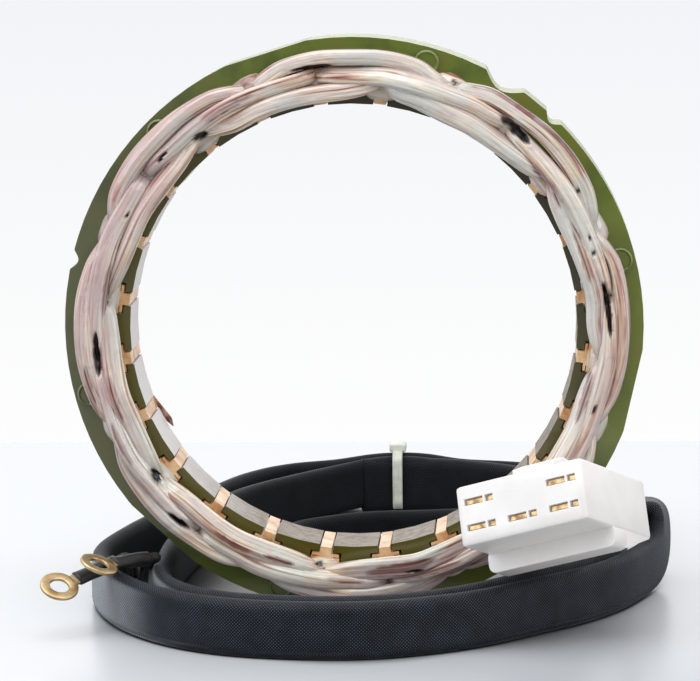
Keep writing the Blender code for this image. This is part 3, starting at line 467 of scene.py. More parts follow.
def braidedMonofilament():
    # Flat sleeving braided from thin black polyester monofilament. Each crossing carries a small painted
    # bluish highlight, and the gaps between them are painted darker as shade, so the dark surface is covered
    # with fine dots on a diamond lattice. The faces inside the loops are painted almost black as shade, and
    # the tight fold at the front left carries a painted pale highlight.
    values = {"shadedGapToPaintedGlint": [(0.15, "#020304"), (0.6, "#0b0e14"), (1.0, "#4b576a")], "inside": "#040506",
              "wearAndPaintedHighlight": "#b4bac1", "sheen": 0.32, "unevenScale": 220.0}
    made, add, place = newMaterial("braidedPolyesterMonofilament", {
        "Specular IOR Level": 0.2, "Sheen Tint": "#c9d3df", "Sheen Roughness": 0.16})
    flow = add("TexCoord", output="UV")
    normal = add("NewGeometry", output="Normal")
    along, around, _ = add("SeparateXYZ", flow, output="all")
    crossing = []
    for sign in (1.0, -1.0):   # one family of filaments each way round the sleeve
        slanted = add("Math", around, sign, along, operation="MULTIPLY_ADD")
        angle = add("Math", slanted, math.pi / braid["pitch"], operation="MULTIPLY")
        wave = add("Math", angle, operation="SINE")
        crossing.append(add("Math", wave, operation="ABSOLUTE"))
    height = add("Math", *crossing, operation="MULTIPLY")
    uneven = add("TexNoise", place, Scale=values["unevenScale"], Detail=2.0)
    level = add("Math", uneven, 0.5, 0.75, operation="MULTIPLY_ADD")
    worked = add("Math", height, level, operation="MULTIPLY")
    # painted shade in the gaps and a painted bluish highlight on each crossing
    colour = add("ValToRGB", worked, stops=values["shadedGapToPaintedGlint"])
    inward = add("Attribute", attribute_name="inward", output="Fac")
    outward = add("Math", 1.0, inward, operation="SUBTRACT")
    faceX, _, faceZ = add("SeparateXYZ", normal, output="all")
    spotX, spotY, _ = add("SeparateXYZ", place, output="all")
    # painted highlight: the pale band on the folds at the front left, where the light catches them
    leftFold, lowFold, nearLeft, inFront = [
        add("MapRange", source, start, end, interpolation_type="SMOOTHSTEP") for source, start, end in (
            (faceX, -0.68, -0.97), (faceZ, -0.1, -0.8), (spotX, -0.034, -0.054), (spotY, 0.03, 0.0))]
    low = add("Math", lowFold, nearLeft, operation="MULTIPLY")
    either = add("Math", leftFold, low, operation="MAXIMUM")
    fold = add("Math", either, inFront, operation="MULTIPLY")
    bare = add("Math", fold, outward, operation="MULTIPLY")
    catch = add("Math", worked, 1.5, 0.1, operation="MULTIPLY_ADD")
    patchy = add("Math", bare, catch, operation="MULTIPLY")
    # painted shade: the faces inside the loops darkened almost to black
    paintedShadeShare = add("Math", inward, 0.72, operation="MULTIPLY")
    darkened = add("Mix", paintedShadeShare, colours=(colour, values["inside"]))
    return feedShader(made, {
        "Base Color": add("Mix", patchy, colours=(darkened, values["wearAndPaintedHighlight"])),
        "Sheen Weight": add("Math", outward, values["sheen"], operation="MULTIPLY"),
        "Roughness": add("Math", outward, -0.3, 0.75, operation="MULTIPLY_ADD"),
        "Normal": add("Bump", Strength=0.7, Distance=0.12 * mm, Height=height)})


def plainFinish(name, colour, dark, look, size, relief):
    # a moulded, drawn or pressed surface: a slow drift of size mm between two close colours, and a relief
    made, add, place = newMaterial(name, look)
    drift = add("TexNoise", place, Scale=1000 / size, Detail=3.0)
    fine = add("TexNoise", place, Scale=6000 / size, Detail=2.0)
    return feedShader(made, {
        "Base Color": add("ValToRGB", drift, stops=[(0.35, dark), (0.62, colour)]),
        "Normal": add("Bump", Strength=0.4, Distance=relief * mm, Height=fine)})


finishes = {
    "core": lacqueredSteel(),
    "wire": varnishedWire(),
    "paper": slotPaper(),
    "braid": braidedMonofilament(),
    # Dried varnish with wire enamel in it, peeled loose: red brown, shiny
    "film": plainFinish("peeledVarnish", "#c79b86", "#7d4a42",
        {"Roughness": 0.3, "Coat Weight": 0.5}, 2.0, 0.05),
    # Moulded natural nylon 66: milky white, a little translucent, satin, with a faint warm painted glow
    "housing": plainFinish("mouldedNaturalNylon", "#dcdcdd", "#d4d4d4", {
        "Emission Color": "#fff1e4", "Emission Strength": 0.085, "Roughness": 0.34, "IOR": 1.53,
        "Subsurface Weight": 0.25, "Subsurface Radius": (1.6, 1.4, 1.1), "Subsurface Scale": mm}, 9.0, 0.03),
    # The same nylon in the thin strap of the tie, greyer because the dark sleeve shows through it
    "tie": plainFinish("mouldedNylonStrap", "#d3d6ca", "#b9beb2", {"Roughness": 0.4, "IOR": 1.53}, 3.0, 0.03),
    # Stamped and flash-plated brass of the blade receptacles: pale yellow and bright
    "terminal": plainFinish("platedBrassStrip", "#bfa477", "#7c6142",
        {"Metallic": 1.0, "Roughness": 0.3}, 1.5, 0.02),
    # Pressed brass ring terminals, dulled by handling
    "eye": plainFinish("pressedBrassTerminal", "#d9c49a", "#b2946a",
        {"Metallic": 1.0, "Roughness": 0.36}, 3.0, 0.03),
    # Heat-shrunk polyolefin: black, satin, pulled slightly wavy over what it covers
    "shrink": plainFinish("shrunkPolyolefin", "#191a1d", "#101113",
        {"Roughness": 0.42, "IOR": 1.49}, 2.5, 0.15),
    # Woven glass sleeve over the soldered neutral joint: pale straw, matt
    "splice": plainFinish("varnishedGlassSleeve", "#d9cfae", "#b9ab84", {"Roughness": 0.55}, 1.2, 0.2),
    # Extruded silicone insulation of the flexible leads: black, matt
    "lead": plainFinish("siliconeInsulation", "#202022", "#161618",
        {"Roughness": 0.5, "IOR": 1.41}, 4.0, 0.04),
}
wireColours = {"black": ("#1b1b1d", "#111112"), "white": ("#d9d8d3", "#c2c1bb"),
               "yellow": ("#e0a516", "#b98410"), "blue": ("#20418f", "#183270"),
               "red": ("#9a2a22", "#74201a")}
for colourName, (light, dark) in wireColours.items():
    # Extruded PVC insulation of the plug's wires: even colour, satin
    finishes[colourName] = plainFinish(colourName + "ExtrudedInsulation", light, dark,
                                       {"Roughness": 0.4, "IOR": 1.54}, 4.0, 0.02)

dressed = {"stator_core": "core", "neutral_splice": "splice", "lead_collar": "shrink"}
dressed.update({f"rivet_{number}": "core" for number in range(1, 7)})
dressed.update({f"slot_insulator_{number:02d}": "paper" for number in range(1, 25)})
dressed.update({f"phase_lead_{number}": "lead" for number in range(1, 4)})
dressed.update({f"plug_wire_{number}": name for number, name in enumerate(wireColours, 1)})
dressed.update({f"terminal_{number}": "terminal" for number in range(1, 6)})
for node, finish in dressed.items():   # these solids keep their shape and take the finish in every slot
    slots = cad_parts[node].data.materials
    slots.clear()
    slots.append(finishes[finish])
print("finishes ready:", len(finishes))


# Core: the solid's own form with its edges rounded

core = {"rimFrom": 63.0, "rimRound": 1.6, "edge": 0.28, "edgeAngle": 50, "sharpAngle": 40, "segments": 2}


def joinedFaces(node):
    # the solid's loose triangles, merged and joined into its flat faces
    work = bmesh.new()
    work.from_mesh(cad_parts[node].data)
    bmesh.ops.remove_doubles(work, verts=work.verts, dist=0.004 * mm)
    bmesh.ops.dissolve_limit(work, angle_limit=math.radians(0.6), verts=work.verts, edges=work.edges)
    return work


def roundedPiece(name, work, sizes, finish):
    # every edge bent by more than the edge angle is rounded, and flat faces stay flat
    mesh = bpy.data.meshes.new(name)
    work.to_mesh(mesh)
    work.free()
    mesh.materials.append(finishes[finish])
    piece = addObject(name, mesh)
    rounding = piece.modifiers.new("rounded edges", "BEVEL")
    rounding.width, rounding.segments = sizes["edge"] * mm, sizes["segments"]
    rounding.limit_method, rounding.angle_limit = "ANGLE", math.radians(sizes["edgeAngle"])
    mesh.shade_smooth()
    mesh.set_sharp_from_angle(angle=math.radians(sizes["sharpAngle"]))
    return piece


def addCore():
    # the upright edges of the rim, where the flats and notches begin, are rounded over first
    work = joinedFaces("stator_core")
    rim = [edge for edge in work.edges if abs((edge.verts[0].co - edge.verts[1].co).normalized().y) > 0.99
           and math.hypot(edge.verts[0].co.x, edge.verts[0].co.z - ringHeight) > core["rimFrom"] * mm]
    bmesh.ops.bevel(work, geom=rim, offset=core["rimRound"] * mm, segments=5, profile=0.5, affect="EDGES",
                    clamp_overlap=True)
    seat(roundedPiece("laminatedCore", work, core, "core"), "stator_core")


addCore()


# Windings: each phase is a ring of coils, and each coil's end turn spans three slots

windings = [
    {"name": "windingInner", "node": "winding_inner", "slotAngle": 37.5, "radius": 54.9, "height": 11.9,
     "swell": 0.3, "hug": 0.5, "sag": 0.95, "lumpSag": 1.5, "lumpRadius": 57.0, "rise": 0.9,
     "wide": 2.15, "seed": 3},
    {"name": "windingMiddle", "node": "winding_middle", "slotAngle": 7.5, "radius": 57.7, "height": 12.0,
     "swell": 0.3, "hug": 1.0, "sag": 0.5, "lumpSag": 0.5, "lumpRadius": 58.2, "rise": 1.0,
     "wide": 2.1, "seed": 8},
    {"name": "windingOuter", "node": "winding_outer", "slotAngle": 22.5, "radius": 60.4, "height": 10.9,
     "swell": 0.7, "hug": 0.8, "sag": -0.6, "lumpSag": 0.0, "lumpRadius": 58.5, "rise": 0.9,
     "wide": 1.95, "seed": 15},
]
coil = {
    "span": 45.0,           # degrees between two slots of one phase
    "legAngle": 1.5,        # a coil's leg keeps to its own half of the slot
    "legRadius": 58.1, "legWide": 3.1, "legTall": 1.45,
    "tall": 2.5, "strands": 12, "squareness": 2.4,
    "neck": 0.22,           # share of the rope at each end that narrows into the slot
    "wireRelief": 0.07,     # how far a wire stands out of the rope
    "ropeRelief": 0.42,     # the same for the rope's own lobes
    "wander": 0.4,
    "rows": 98, "columns": 52,
}
lump = {"radial": 3.6, "along": 5.2, "base": 6.9, "high": 3.4, "rows": 20, "columns": 28}
# Marks on the end turns: degrees round the ring, then radius, half length, half width, slant and depth in
# mm. The hollows are where the ropes part or a bubble burst, and the finish paints them near black as
# their shade; the wires are scorched at the others.
hollows = [
    (50.4, 58.5, 4.6, 1.15, 0.05, 2.6), (127.1, 55.7, 1.9, 0.9, 0.1, 1.6),
    (136.7, 58.0, 1.7, 0.45, -0.05, 1.2), (185.0, 58.4, 5.6, 0.75, 0.04, 2.0),
    (216.5, 56.2, 2.2, 0.8, 0.1, 1.8), (227.5, 59.3, 3.2, 0.7, -0.08, 1.6),
    (4.6, 58.0, 7.0, 0.7, -0.06, 2.0), (261.5, 54.9, 1.0, 0.6, 0.0, 1.6), (284.0, 56.9, 2.2, 0.35, 0.1, 0.9),
    (67.0, 60.6, 0.9, 0.55, 0.2, 1.2), (31.6, 60.0, 0.7, 0.45, 0.3, 0.8), (21.6, 57.6, 0.55, 0.4, 0.0, 0.7),
    (18.0, 57.4, 0.8, 0.5, 0.4, 0.9), (152.0, 57.0, 0.7, 0.4, 0.2, 0.7), (98.0, 60.2, 5.4, 0.5, 0.0, 1.3),
    (342.0, 57.5, 0.8, 0.45, 0.1, 0.8),
]
scorched = [
    (281.0, 55.6, 9.0, 1.5, -0.02, 0), (286.0, 57.9, 10.0, 1.0, 0.03, 0), (293.0, 59.8, 7.0, 0.9, 0.05, 0),
    (268.0, 57.4, 5.0, 0.7, 0.05, 0), (252.0, 55.4, 4.0, 0.7, 0.0, 0), (19.0, 55.0, 8.0, 0.9, 0.03, 0),
    (344.0, 54.6, 7.0, 0.9, 0.0, 0), (38.0, 55.2, 8.0, 0.7, 0.06, 0), (170.0, 56.4, 7.0, 0.7, 0.0, 0),
    (206.0, 58.6, 6.0, 0.8, 0.0, 0), (240.0, 56.0, 5.0, 0.7, 0.05, 0), (118.0, 57.6, 7.0, 0.7, -0.04, 0),
    (193.0, 61.4, 7.0, 0.8, 0.02, 0), (196.0, 56.0, 6.0, 0.7, 0.03, 0),
]
markEdge = {"hollow": 2.2, "scorched": 2.6}   # the higher, the sharper a mark's edge


def topShare(angle):
    # 0 on the ring's lower half, rising smoothly to 1 near its top, where the ropes sag inwards
    return smoothStep((np.sin(angle) - 0.1) / 0.5)


def coilPath(tier, start, side, draw):
    # out of the slot along the axis, over to the tier's radius, round a low arch, and back into the next slot
    span, leg = coil["span"], coil["legAngle"]
    over = draw.uniform(-0.25, 0.25)
    shares = np.array([0, 0, 0.012, 0.07, 0.17, 0.33, 0.5, 0.67, 0.83, 0.93, 0.988, 1, 1])
    lift = np.array([-8.5, -4.6, -2.2, -0.55, -0.05, 0.55, 1, 0.55, -0.05, -0.55, -2.2, -4.6, -8.5])
    reach = np.array([0, 0, 0.12, 0.5, 0.88, 1, 1, 1, 0.88, 0.5, 0.12, 0, 0])
    angle = np.radians(start + leg + (span - 2 * leg) * shares)
    settled = tier["radius"] + over - tier["sag"] * topShare(angle)
    radius = coil["legRadius"] + (settled - coil["legRadius"]) * reach ** tier["hug"]
    radius = radius + tier["swell"] * np.sin(math.pi * shares)
    height = tier["height"] + np.where(lift > 0, tier["rise"] * lift, lift)
    wander = 0.5 * draw.normal(0, coil["wander"], (2, len(shares))) * np.clip(reach - 0.3, 0, 1)
    return smoothPath(aroundRing(radius + wander[0], angle, side * (height + wander[1])), coil["rows"])


def markShare(points, marks, sharp):
    # how deep each point lies in a mark: 1 at the middle of its ragged ellipse, 0 from the edge on
    angle = np.arctan2(points[..., 2] - ringHeight, points[..., 0])
    radius = np.hypot(points[..., 0], points[..., 2] - ringHeight) / mm
    share, deep = np.zeros(radius.shape), np.zeros(radius.shape)
    for degrees, middle, long, wide, slant, depth in marks:
        forward = middle * np.angle(np.exp(1j * (angle - math.radians(degrees))))
        sideways = radius - middle - slant * forward
        ragged = 1 + 0.12 * np.sin(1.9 * forward + 5 * degrees) + 0.04 * np.sin(4.7 * forward)
        found = smoothStep(sharp * np.clip(1 - (forward / long) ** 2 - (sideways / wide / ragged) ** 2, 0, 1))
        share, deep = np.maximum(share, found), np.maximum(deep, found * depth)
    return share, deep


def coilShape(tier, start, side, draw):
    # a rounded section carried along the path, |x/a|^n + |y/b|^n = 1, rippled by wires that drift round it
    path = coilPath(tier, start, side, draw)
    rows, columns = coil["rows"], coil["columns"]
    ahead = unit(np.gradient(path, axis=0))
    outward = path * [1, 0, 1] - [0, 0, ringHeight]
    outward = unit(outward - np.einsum("ij,ij->i", outward, ahead)[:, None] * ahead)
    share, around = tubeGrid(rows, columns)
    free = smoothStep(np.minimum(share, 1 - share) / coil["neck"])
    belly = 0.86 + 0.14 * np.sin(math.pi * share) ** 2
    wide = coil["legWide"] + (tier["wide"] * belly - coil["legWide"]) * free
    tall = coil["legTall"] + (coil["tall"] * belly - coil["legTall"]) * free
    power = 2 / coil["squareness"]
    x, y = [np.sign(wave) * np.abs(wave) ** power for wave in (np.cos(around), np.sin(around))]
    x, y = x * wide, y * tall
    drift = draw.uniform(0, turn) + draw.uniform(-1.6, 1.6) * share
    drift = drift + 0.5 * np.sin(turn * (share * draw.uniform(0.8, 1.6) + draw.uniform()))
    phase = coil["strands"] * around / 2 + drift
    crest = np.abs(np.sin(phase)) ** 0.75
    lobes = np.sin(2 * around + draw.uniform(0, turn) + 1.5 * drift)
    lobes = lobes + 0.8 * np.sin(3 * around + draw.uniform(0, turn) - 1.2 * drift)
    uneven = np.sin(turn * (share * draw.uniform(2, 4) + draw.uniform()) + 2 * around)
    relief = coil["wireRelief"] * (crest - 0.6) + coil["ropeRelief"] * lobes * 0.6 + 0.1 * uneven
    grow = 1 + relief * free / np.hypot(x, y)
    points = carried(path, outward, np.cross(ahead, outward), x * grow, y * grow)
    facing = np.clip(side * (points[..., 1] / mm) - 8.5, 0, 1)
    hollow, deep = markShare(points, hollows, markEdge["hollow"])
    rust, _ = markShare(points, scorched, markEdge["scorched"])
    if side > 0:   # the rear has no hollows
        hollow, deep, rust = 0 * hollow, 0 * deep, np.roll(rust, rows // 3, axis=0)
    points[..., 1] -= side * deep * facing * mm
    tones = draw.uniform(0, 1, coil["strands"])
    strand = tones[np.floor(phase / math.pi).astype(int) % coil["strands"]]
    length = alongPath(path)[:, None] / mm + draw.uniform(0, 900)
    girth = (tier["wide"] + coil["tall"]) * around / 2 + 40 * draw.integers(0, 20)
    points = points.reshape(-1, 3)
    return {"points": points, "uv": pairs(length, girth), "size": (rows, columns),
            "groove": ((1 - crest) ** 2).ravel(), "strand": strand.ravel(),
            "hollow": (hollow * facing).ravel(), "rust": rust.ravel(),
            "outer": np.tile(0.5 + 0.5 * np.cos(around), (rows, 1)).ravel()}


def slotLump(tier, start, side, draw):
    # wires and varnish heaped in a slot's end, where two coils part: an ellipsoid rippled by its own height
    rows, columns = lump["rows"], lump["columns"]
    down, around = tubeGrid(rows, columns, math.pi)
    ripple = 1 + 0.05 * np.sin(5 * around + draw.uniform(0, turn)) * np.sin(3 * down + draw.uniform(0, turn))
    radial = lump["radial"] * np.sin(down) ** 0.7 * np.cos(around) * ripple
    along = lump["along"] * np.sin(down) ** 0.7 * np.sin(around) * ripple
    high = lump["base"] + draw.uniform(0, 0.5) + lump["high"] * np.cos(down)
    angle = math.radians(start) + along / tier["lumpRadius"]
    points = aroundRing(tier["lumpRadius"] - tier["lumpSag"] * topShare(angle) + radial, angle, side * high)
    zero = np.zeros(rows * columns)
    hollow = markShare(points, hollows, markEdge["hollow"])[0].ravel() if side < 0 else zero
    points = points.reshape(-1, 3)
    return {"points": points, "uv": pairs(along + draw.uniform(0, 900), radial), "size": (rows, columns),
            "groove": zero, "strand": zero + 0.3, "hollow": hollow, "rust": zero + 0.25, "outer": zero}


def addWinding(tier):
    # the eight coils and eight lumps of each side, joined into one mesh
    draw = np.random.default_rng(tier["seed"])
    starts = [(tier["slotAngle"] + coil["span"] * k, side) for side in (-1, 1) for k in range(8)]
    shapes = [shape(tier, start, side, draw) for shape in (coilShape, slotLump) for start, side in starts]
    first = np.cumsum([0] + [len(shape["points"]) for shape in shapes])
    faceSets = [faces + start for shape, start in zip(shapes, first)
                for faces in facesOut(shape["points"], closedTube(*shape["size"]))]
    joined = {key: np.concatenate([shape[key] for shape in shapes]) for key in ("points", "uv", *wireMarks)}
    piece = makePiece(tier["name"], joined["points"], faceSets, "wire", joined["uv"],
                      {key: joined[key] for key in wireMarks})
    seat(piece, tier["node"])


for tier in windings:
    addWinding(tier)
print("windings wound:", len(windings))


# Varnish film: a strip that has peeled off the rear end turn and hangs along the bore's far edge

film = {"from": 196.5, "to": 210.5, "radius": 50.7, "root": 2.4, "depth": 8.4, "lean": 0.7, "thin": 0.6,
        "wide": 1.7, "thick": 0.3, "rows": 30, "columns": 12}


def addFilm():
    # a flat ellipse carried along an arc about the ring's axis, wider and further back towards its loose end
    rows, columns = film["rows"], film["columns"]
    share, around = tubeGrid(rows, columns)
    angle = np.radians(film["from"] + (film["to"] - film["from"]) * share)
    wide = (film["thin"] + (film["wide"] - film["thin"]) * share ** 1.5) * np.clip(6 * (1.02 - share), 0, 1)
    middle = film["radius"] + film["root"] * (1 - share) ** 4 + 0.3 * np.sin(5 * share)
    radius = middle + wide / 2 * np.cos(around)
    depth = film["depth"] + film["lean"] * share + film["thick"] / 2 * np.sin(around)
    seat(makePiece("varnishFilm", aroundRing(radius, angle, depth), closedTube(rows, columns), "film"))


addFilm()


# Sleeve: the route's points are those of the solid, in mm: x, y and the height above its rest on the floor

sleeveRoute = [
    (-19.4, 24.5, 0), (-14.0, 34.5, 0), (0.0, 43.5, 0), (16.0, 46.0, 0), (31.0, 50.0, 0), (42.0, 57.5, 0),
    (47.0, 69.0, 0), (46.0, 82.0, 0), (37.0, 95.5, 0), (23.0, 104.5, 0.3), (11.0, 107.4, 1.8),
    (1.0, 107.4, 1.8), (-11.0, 103.2, 0.3), (-22.0, 91.0, 0), (-32.0, 76.0, 0), (-38.0, 60.0, 0),
    (-42.0, 40.0, 0), (-44.3, 18.0, 0), (-44.5, -3.0, 0), (-43.5, -20.0, 0), (-38.5, -33.0, 0),
    (-28.0, -43.0, 0), (-12.0, -47.6, 0), (4.0, -47.6, 0), (16.0, -43.3, 0), (27.3, -35.7, 0),
    (38.0, -24.5, 0), (47.5, -15.5, 0), (55.0, -3.0, 0), (60.0, 14.0, 0), (61.8, 40.0, 0), (62.5, 64.0, 0),
    (59.5, 85.0, 0), (52.0, 99.0, 0), (38.0, 109.0, 0), (22.0, 112.6, 0.3), (11.0, 112.9, 1.8),
    (1.0, 112.9, 1.8), (-11.0, 112.2, 0.3), (-24.0, 107.0, 0), (-34.0, 94.0, 0), (-42.0, 73.0, 0),
    (-50.0, 50.0, 0), (-56.5, 28.0, 0), (-60.3, 6.0, 0), (-57.5, -12.0, 0), (-50.5, -28.0, 0),
    (-40.0, -41.0, 0), (-27.0, -49.3, 0), (-12.0, -53.0, 0), (4.0, -53.0, 0), (18.0, -48.2, 0),
    (30.0, -40.7, 0), (41.5, -29.6, 0), (51.5, -19.6, 0), (60.0, -7.5, 0), (66.0, 6.0, 0),
    (69.6, 16.0, 1.2), (70.9, 22.0, 5.6), (70.2, 24.0, 10.8), (66.6, 24.2, 11.5),
]
sleeve = {
    "height": 12.8, "thick": 4.2,
    "rows": 720, "columns": 44,
    "riseStart": 56,                      # it stands on edge up to this point of the route
    "wall": 0.45, "mouthDepth": 14,       # rows that the open mouth goes back inside
    "sag": 0.14,
    "innerRows": 100, "fadeRows": 20,     # rows of the stretch that starts inside the loops
}
lap = {"rows": (66, 138), "height": 14.3, "thick": 5.0}
upright = np.array([0, 0, 1.0])


def sleeveSection():
    # a straight side and a half circle of half the thickness, twice, at even steps of length
    radius = sleeve["thick"] / 2
    rise = sleeve["height"] / 2 - radius
    half = 2 * rise + math.pi * radius
    place = np.linspace(0, 2 * half, sleeve["columns"], endpoint=False)
    side = np.where(place < half, 1, -1)
    angle = np.maximum(place % half - 2 * rise, 0) / radius
    y = np.minimum(place % half, 2 * rise) - rise + radius * np.sin(angle)
    return side * radius * np.cos(angle), side * y


def inwardShare(x, rows):
    # 1 on the side of the section that faces the middle of the loops, which the finish paints in shade, 0 on
    # the other side
    share = np.broadcast_to(np.clip(0.5 - 1.5 * x / sleeve["thick"], 0, 1), (rows, len(x)))
    if rows > sleeve["rows"]:   # the first stretch lies inside the loops with both its sides
        within = np.clip((sleeve["innerRows"] - np.arange(rows)) / sleeve["fadeRows"], 0, 1)
        share = np.maximum(share, 0.9 * within[:, None])
    return {"inward": share.ravel()}


def braidedTube(name, points, length, x):
    # the skin of a braided stretch, with the length along it and round it as its uv, in mm
    rows, columns = points.shape[:2]
    around = np.arange(columns) / columns * braid["around"] * braid["pitch"]
    return makePiece(name, points, closedTube(rows, columns), "braid", pairs(length[:, None], around[None]),
                     inwardShare(x, rows))


def addSleeve():
    # the section carried along the route: on edge while it lies, then bent without a twist up to the mouth
    rest = sleeve["height"] / 2
    route = np.array([(x, y, rest + up) for x, y, up in sleeveRoute]) * mm
    path = smoothPath(route, sleeve["rows"])
    path[:, 2] = np.maximum(path[:, 2], rest * mm)
    ahead = unit(np.gradient(path, axis=0))
    flat = unit(np.cross(ahead, upright))
    place = np.linspace(0, len(route) - 1, sleeve["rows"])
    for k in np.flatnonzero(place >= sleeve["riseStart"]):
        flat[k] = unit(flat[k - 1] - flat[k - 1].dot(ahead[k]) * ahead[k])
    edge = np.cross(flat, ahead)
    x, y = sleeveSection()
    length = alongPath(path) / mm
    wave = np.sin(length / 9.0)[:, None] * np.cos(y / 3.1)
    wave = wave + np.sin(length / 23.0 + 1.7)[:, None] * np.cos(y / 5.3 + 0.6)
    thick = x * (1 + sleeve["sag"] * wave / (sleeve["thick"] / 2))
    tall = np.broadcast_to(y, thick.shape)
    back = np.arange(sleeve["rows"] - 1, sleeve["rows"] - 1 - sleeve["mouthDepth"], -1)
    slim, low = 1 - sleeve["wall"] / (sleeve["thick"] / 2), 1 - sleeve["wall"] / rest
    inner = carried(path[back], flat[back], edge[back], thick[back] * slim, tall[back] * low)
    points = np.concatenate([carried(path, flat, edge, thick, tall), inner])
    points[..., 2] = np.maximum(points[..., 2], 0.02 * mm)
    piece = braidedTube("braidedSleeve", points, np.concatenate([length, length[back]]), x)
    return seat(piece, "braided_sleeve"), path


def addLap(sleevePath):
    # a second layer of the same braid folded over the inner back run: the section a little larger, on edge
    path = sleevePath[slice(*lap["rows"])].copy()
    path[:, 2] = lap["height"] / 2 * mm
    side = unit(np.cross(unit(np.gradient(path, axis=0)), upright))
    x, y = sleeveSection()
    wide, tall = x * lap["thick"] / sleeve["thick"], y * lap["height"] / sleeve["height"]
    points = carried(path, side, np.broadcast_to(upright, path.shape), wide[None], tall[None])
    return seat(braidedTube("sleeveLap", points, alongPath(path) / mm, x))


sleevePiece, sleevePath = addSleeve()
lapPiece = addLap(sleevePath)
print("sleeve laid:", round(alongPath(sleevePath)[-1], 3), "m")


# Plug: the solid's own form with its edges rounded as the mould leaves them

housing = {"edge": 0.28, "edgeAngle": 32, "sharpAngle": 38, "segments": 3}
housingPiece = seat(roundedPiece("plugHousing", joinedFaces("plug_housing"), housing, "housing"),
                    "plug_housing")


# Cable tie: a toothed strap round both runs, with its head on top

tie = {"width": 2.6, "thick": 1.0, "headHeight": 2.2, "corner": 2.5, "bevel": 0.25, "tooth": 0.62,
       "toothDepth": 0.12, "rows": 240, "sharpAngle": 50}
tieHead = {"size": (4.4, 5.0, 2.2), "edge": 0.5, "edgeAngle": 30, "sharpAngle": 60, "segments": 4}


def roundedLoop(low, high, corner, count):
    # a rectangle in y and z with round corners, at even steps of its length
    centres = [(high[0] - corner, high[1] - corner), (low[0] + corner, high[1] - corner),
               (low[0] + corner, low[1] + corner), (high[0] - corner, low[1] + corner)]
    angle = (np.arange(4)[:, None] + np.linspace(0, 1, 13)) * math.pi / 2
    outline = np.array(centres)[:, None] + corner * np.stack([np.cos(angle), np.sin(angle)], -1)
    closed = np.vstack([outline.reshape(-1, 2), outline[0, :1]])
    length = alongPath(closed)
    even = np.linspace(0, length[-1], count, endpoint=False)
    return np.stack([np.interp(even, length, closed[:, k]) for k in (0, 1)], -1), even


def addTie():
    # a flat bar carried round the loop, whose outer face steps up and down once a tooth, and a rounded box
    low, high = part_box("cable_tie")
    middle = (low.x + high.x) / 2 / mm
    half, width, edge = tie["thick"] / 2, tie["width"] / 2, tie["bevel"]
    top = high.z / mm - tie["headHeight"] + half
    loop, even = roundedLoop((low.y / mm + half, low.z / mm + half), (high.y / mm - half, top - half),
                             tie["corner"], tie["rows"])
    ahead = unit(np.roll(loop, -1, axis=0) - np.roll(loop, 1, axis=0))
    outward = np.stack([ahead[:, 1], -ahead[:, 0]], -1)
    tooth = tie["toothDepth"] * np.abs(np.sin(math.pi * even / tie["tooth"]))
    section = np.array([
        (-width, -half + edge), (-width + edge, -half), (width - edge, -half), (width, -half + edge),
        (width, half - edge), (width - edge, half), (0.6 * width, half), (-0.6 * width, half),
        (-width + edge, half), (-width, half - edge)])
    toothed = (section[:, 1] > 0) & (abs(section[:, 0]) < 0.7 * width)
    rise = section[:, 1] - tooth[:, None] * toothed
    across = np.broadcast_to(middle + section[:, 0], rise.shape)
    points = np.concatenate([across[..., None], loop[:, None] + rise[..., None] * outward[:, None]], -1)
    strap = makePiece("tieStrap", points * mm, [gridFaces(*rise.shape, wrapRows=True)], "tie",
                      pairs(even[:, None], np.arange(len(section))))
    strap.data.set_sharp_from_angle(angle=math.radians(tie["sharpAngle"]))
    size = [s * mm for s in tieHead["size"]]
    centre = Vector((middle * mm, (low.y + high.y) / 2, high.z - size[2] / 2))
    work = bmesh.new()
    bmesh.ops.create_cube(work, size=1.0, matrix=Matrix.Translation(centre) @ Matrix.Diagonal((*size, 1)))
    return [seat(strap, "cable_tie"), seat(roundedPiece("tieHead", work, tieHead, "tie"))]


tiePieces = addTie()
print("plug and tie done")


# Ring terminals on their two short leads

eye = {"radius": 4.35, "hole": 2.15, "thick": 0.8, "edge": 0.22, "tongue": 3.0, "tongueStarts": (-0.9, 0.2),
       "tongueEnd": 6.5, "sides": 72, "sharpAngle": 50}
shrink = {"start": 5.0, "length": 12.0, "radius": 1.6, "rows": 40, "columns": 28}
ringLead = {"radius": 1.1, "gap": 0.3, "straight": 3.0, "rows": 60, "columns": 16}
ringTerminals = [
    {"place": (-64.8, -34.5, 11.8), "along": (0.66, 0.73, 0.17), "up": (0.32, -0.36, 0.85),
     "lead": [(-52.1, -14.0, 12.2), (-53.0, -5.0, 7.4), (-54.0, 4.0, 4.6), (-55.6, 14.0, 4.4)]},
    {"place": (-56.1, -32.4, 16.3), "along": (0.55, 0.83, -0.10), "up": (0.39, -0.15, 0.91),
     "lead": [(-47.9, -13.0, 12.0), (-49.4, -5.0, 7.2), (-50.8, 5.0, 4.2), (-53.9, 21.0, 3.6)]},
]


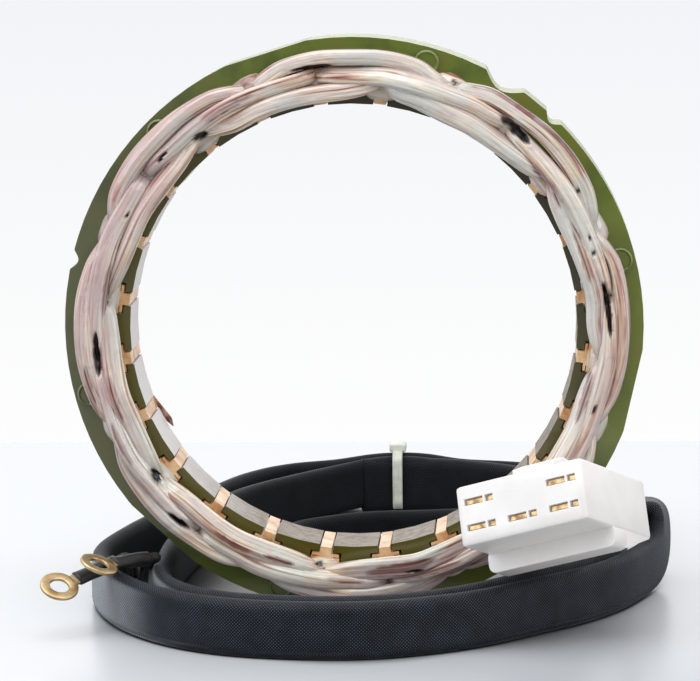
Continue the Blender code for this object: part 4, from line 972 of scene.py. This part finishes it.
def addEye(number, origin, axes):
    # a rounded bar turned about the hole's axis, and a tongue with the same edges that runs into the tube
    half, edge = eye["thick"] / 2, eye["edge"]
    middle, reach = (eye["radius"] + eye["hole"]) / 2, (eye["radius"] - eye["hole"]) / 2
    angle = np.radians(np.arange(0, 360, 90)[:, None] + [0, 30, 60, 90]).ravel()
    x = np.repeat([1, -1, -1, 1], 4) * (reach - edge) + edge * np.cos(angle)
    z = np.repeat([1, 1, -1, -1], 4) * (half - edge) + edge * np.sin(angle)
    around = np.linspace(0, turn, eye["sides"], endpoint=False)[:, None]
    disc = np.broadcast_arrays((middle + x) * np.cos(around), (middle + x) * np.sin(around), z)
    ends = np.array([eye["radius"] + start for start in eye["tongueStarts"]] + [eye["tongueEnd"]])[:, None]
    tongue = np.broadcast_arrays(ends, x + np.sign(x) * (eye["tongue"] / 2 - reach), z)
    points = np.concatenate([np.stack(part, -1).reshape(-1, 3) for part in (disc, tongue)])
    tongueFaces = facesOut(points, [faces + disc[0].size for faces in closedTube(len(ends), len(x))])
    piece = makePiece(f"ringTerminal{number}", points @ axes * mm + origin,
                      [gridFaces(*disc[0].shape, wrapRows=True), *tongueFaces], "eye")
    piece.data.set_sharp_from_angle(angle=math.radians(eye["sharpAngle"]))
    return seat(piece, f"ring_terminal_{number}")


def addShrink(number, origin, axes):
    # a tube whose section goes from flat, over the tongue, to round, over the wire, with slow waves along it
    rows, columns = shrink["rows"], shrink["columns"]
    share, around = tubeGrid(rows, columns)
    flat = 1 - smoothStep((share - 0.15) / 0.45)
    wide = shrink["radius"] * (1.06 + 0.12 * flat + 0.03 * np.sin(14 * share + number))
    tall = shrink["radius"] * (1.02 - 0.36 * flat + 0.03 * np.sin(11 * share))
    lip = np.clip(np.minimum(share, 1 - share) / 0.02, 0.82, 1)
    along = shrink["start"] + shrink["length"] * share
    spots = np.broadcast_arrays(along, wide * lip * np.cos(around), tall * lip * np.sin(around))
    points = np.stack(spots, -1)
    piece = makePiece(f"ringShrink{number}", points @ axes * mm + origin, closedTube(rows, columns), "shrink")
    return seat(piece, f"ring_shrink_{number}")


def addRingLead(number, spot, origin, axes):
    # a circle carried along the route: straight out of the tube, then down between the sleeve's runs
    steps = [shrink["start"] + shrink["length"] + ringLead[part] for part in ("gap", "straight")]
    route = np.vstack([[origin + axes[0] * step * mm for step in steps], np.array(spot["lead"]) * mm])
    path = smoothPath(route, ringLead["rows"])
    ahead = unit(np.gradient(path, axis=0))
    side = unit(np.cross(ahead, [0.02, 0.01, 1.0]))
    rows, columns, radius = ringLead["rows"], ringLead["columns"], ringLead["radius"]
    around = tubeGrid(rows, columns)[1]
    points = carried(path, side, np.cross(side, ahead), radius * np.cos(around), radius * np.sin(around))
    piece = makePiece(f"ringLead{number}", points, closedTube(rows, columns), "lead",
                      pairs(alongPath(path)[:, None] / mm, around * radius))
    return seat(piece, f"ring_lead_{number}"), path


for number, spot in enumerate(ringTerminals, 1):
    origin = np.array(spot["place"]) * mm
    along, up = unit(np.array(spot["along"])), np.array(spot["up"])
    up = unit(up - up.dot(along) * along)
    axes = np.array([along, np.cross(up, along), up])
    eyePiece, shrinkPiece = addEye(number, origin, axes), addShrink(number, origin, axes)
    leadPiece, leadPath = addRingLead(number, spot, origin, axes)

nodes = [f"plug_wire_{k}" for k in range(1, 6)] + [f"terminal_{k}" for k in range(1, 6)]
nodes += [f"phase_lead_{k}" for k in range(1, 4)] + ["lead_collar"]
